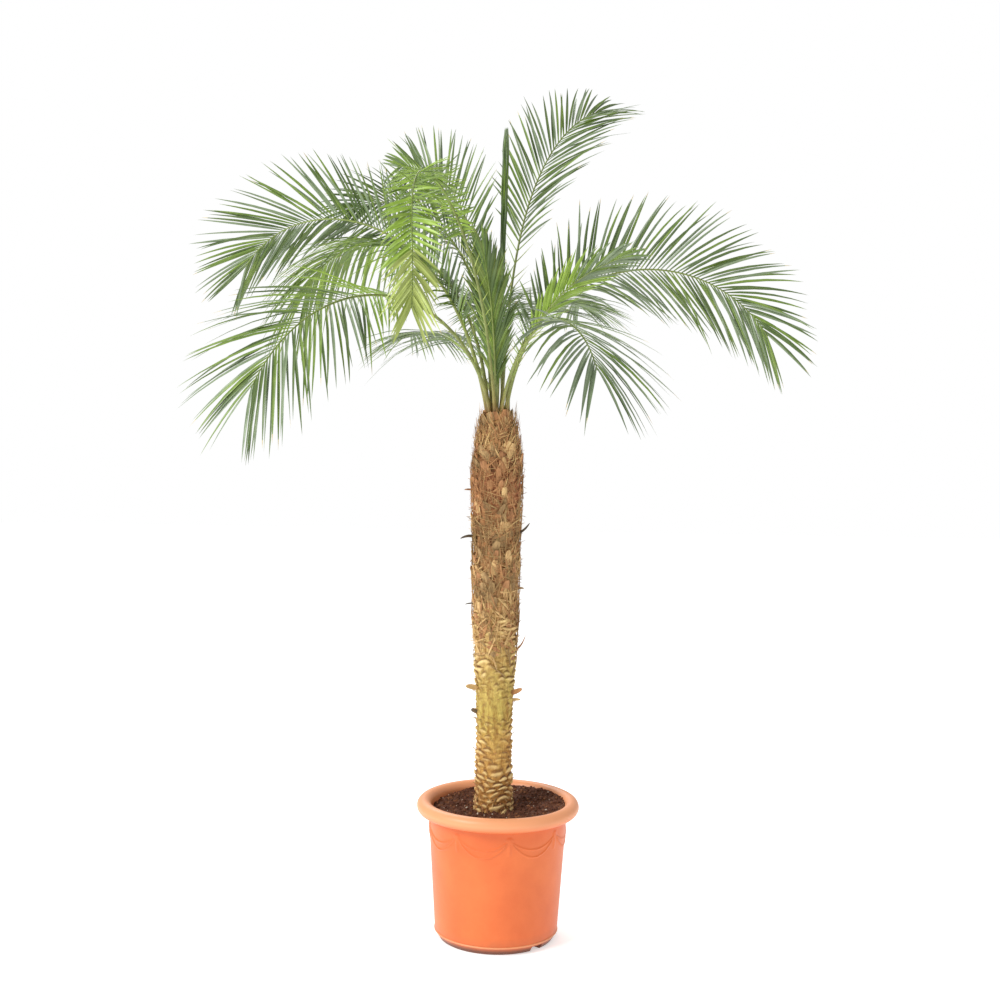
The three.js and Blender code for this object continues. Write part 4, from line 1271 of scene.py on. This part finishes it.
luck = np.random.default_rng(SPEAR_SEED)
share = np.linspace(SPEAR_LEAFLETS_BEGIN, SPEAR_LEAFLETS_END, SPEAR_LEAFLETS)
breadth = np.interp(share, (SPEAR_LEAFLETS_BEGIN, 0.66), (0.0036, 0.0092))
turn = np.arange(SPEAR_LEAFLETS) * GOLDEN_TURN
outward = columns(np.cos(turn), np.sin(turn), 0.0)
root = columns(CROWN_X + SPEAR_LEAN * share, 0.0, TRUNK_TOP + SPEAR_LENGTH * share) + 0.003 * outward
length = np.minimum(SPEAR_LEAFLET_LONGEST, SPEAR_LENGTH * (1.0 - share))
length = length * luck.uniform(0.92, 1.0, SPEAR_LEAFLETS)
heading = np.array([SPEAR_LEAN / SPEAR_LENGTH, 0.0, 1.0])
heading = heading + outward * luck.uniform(0.0, 0.02, (SPEAR_LEAFLETS, 1))
sway = luck.normal(0, 0.008, SPEAR_LEAFLETS)
tint = luck.integers(0, len(SPEAR_GREENS), SPEAR_LEAFLETS)
spear = grow(
    "spear_leaflets", leaflet_blank, root, heading, np.cross(outward, [0.0, 0.0, 1.0]), length, breadth,
    tint, [leaf_finishes[green] for green in SPEAR_GREENS], sway=sway)
add_piece("spear_leaflets", spear, "leaf_bright", "spear_leaf")
for blank in (boot_blank, strip_blank, leaflet_blank, spine_blank, fibre_blank, rib_section):
    bpy.data.objects.remove(blank)


# The studio
# A plain pale floor in soft light from the upper left, and the camera where the photographer stood.

FLOOR_REACH = 8.0
FLOOR_GLOW = 0.46
SKY_LIGHT = 0.62
SENSOR_WIDTH = 36.0
CAMERA_PLACE = (-0.0064, -3.0, 1.107)
CAMERA_DOWN = math.radians(4.6)
CAMERA_ROLL = math.radians(1.0)
CAMERA_FOCAL = 1.549

# Area lamps: place, aim, size and watts
LAMPS = {
    "key": ((-2.8, -2.0, 3.0), (0, 0, 0.9), 1.6, 130),
    "fill": ((2.8, -2.2, 1.8), (0, 0, 0.8), 2.2, 5),
    "back": ((-1.0, 2.8, 3.0), (0, 0, 1.1), 2.0, 50),
}

corners = [(FLOOR_REACH * x, FLOOR_REACH * y, 0) for x, y in ((-1, -1), (1, -1), (1, 1), (-1, 1))]
floor = put("floor", new_mesh("floor", corners, [(0, 1, 2, 3)]))
floor_finish = mottled_finish(
    "floor", (245, 245, 245), (243, 243, 243), patches=2, grain=40, gloss=(0.85, 0.95), relief=0.0001)
floor_finish.node_tree.nodes["Principled BSDF"].inputs["Emission Strength"].default_value = FLOOR_GLOW
floor.data.materials.append(floor_finish)

sky = bpy.data.worlds.new("studio")
sky.use_nodes = True
background = sky.node_tree.nodes["Background"]
background.inputs["Color"].default_value = (1.0, 1.0, 1.0, 1.0)
seen = add_node(sky.node_tree, "ShaderNodeLightPath")["Is Camera Ray"]
light = mapped(sky.node_tree, seen, 0.0, 1.0, low=SKY_LIGHT)
sky.node_tree.links.new(light, background.inputs["Strength"])
bpy.context.scene.world = sky

for name, (place, aim, size, watts) in LAMPS.items():
    lamp = bpy.data.lights.new(name, "AREA")
    lamp.size = size
    lamp.energy = watts
    holder = put(name, lamp)
    holder.location = place
    holder.rotation_euler = (Vector(aim) - Vector(place)).to_track_quat("-Z", "Y").to_euler()

lens = bpy.data.cameras.new("camera")
lens.sensor_fit = "HORIZONTAL"
lens.sensor_width = SENSOR_WIDTH
lens.lens = SENSOR_WIDTH * CAMERA_FOCAL
camera = put("camera", lens)
tilt = Matrix.Rotation(math.radians(90) - CAMERA_DOWN, 4, "X")
camera.matrix_world = Matrix.Translation(CAMERA_PLACE) @ tilt @ Matrix.Rotation(CAMERA_ROLL, 4, "Z")
bpy.context.scene.camera = camera
bpy.context.scene.view_settings.view_transform = "Standard"
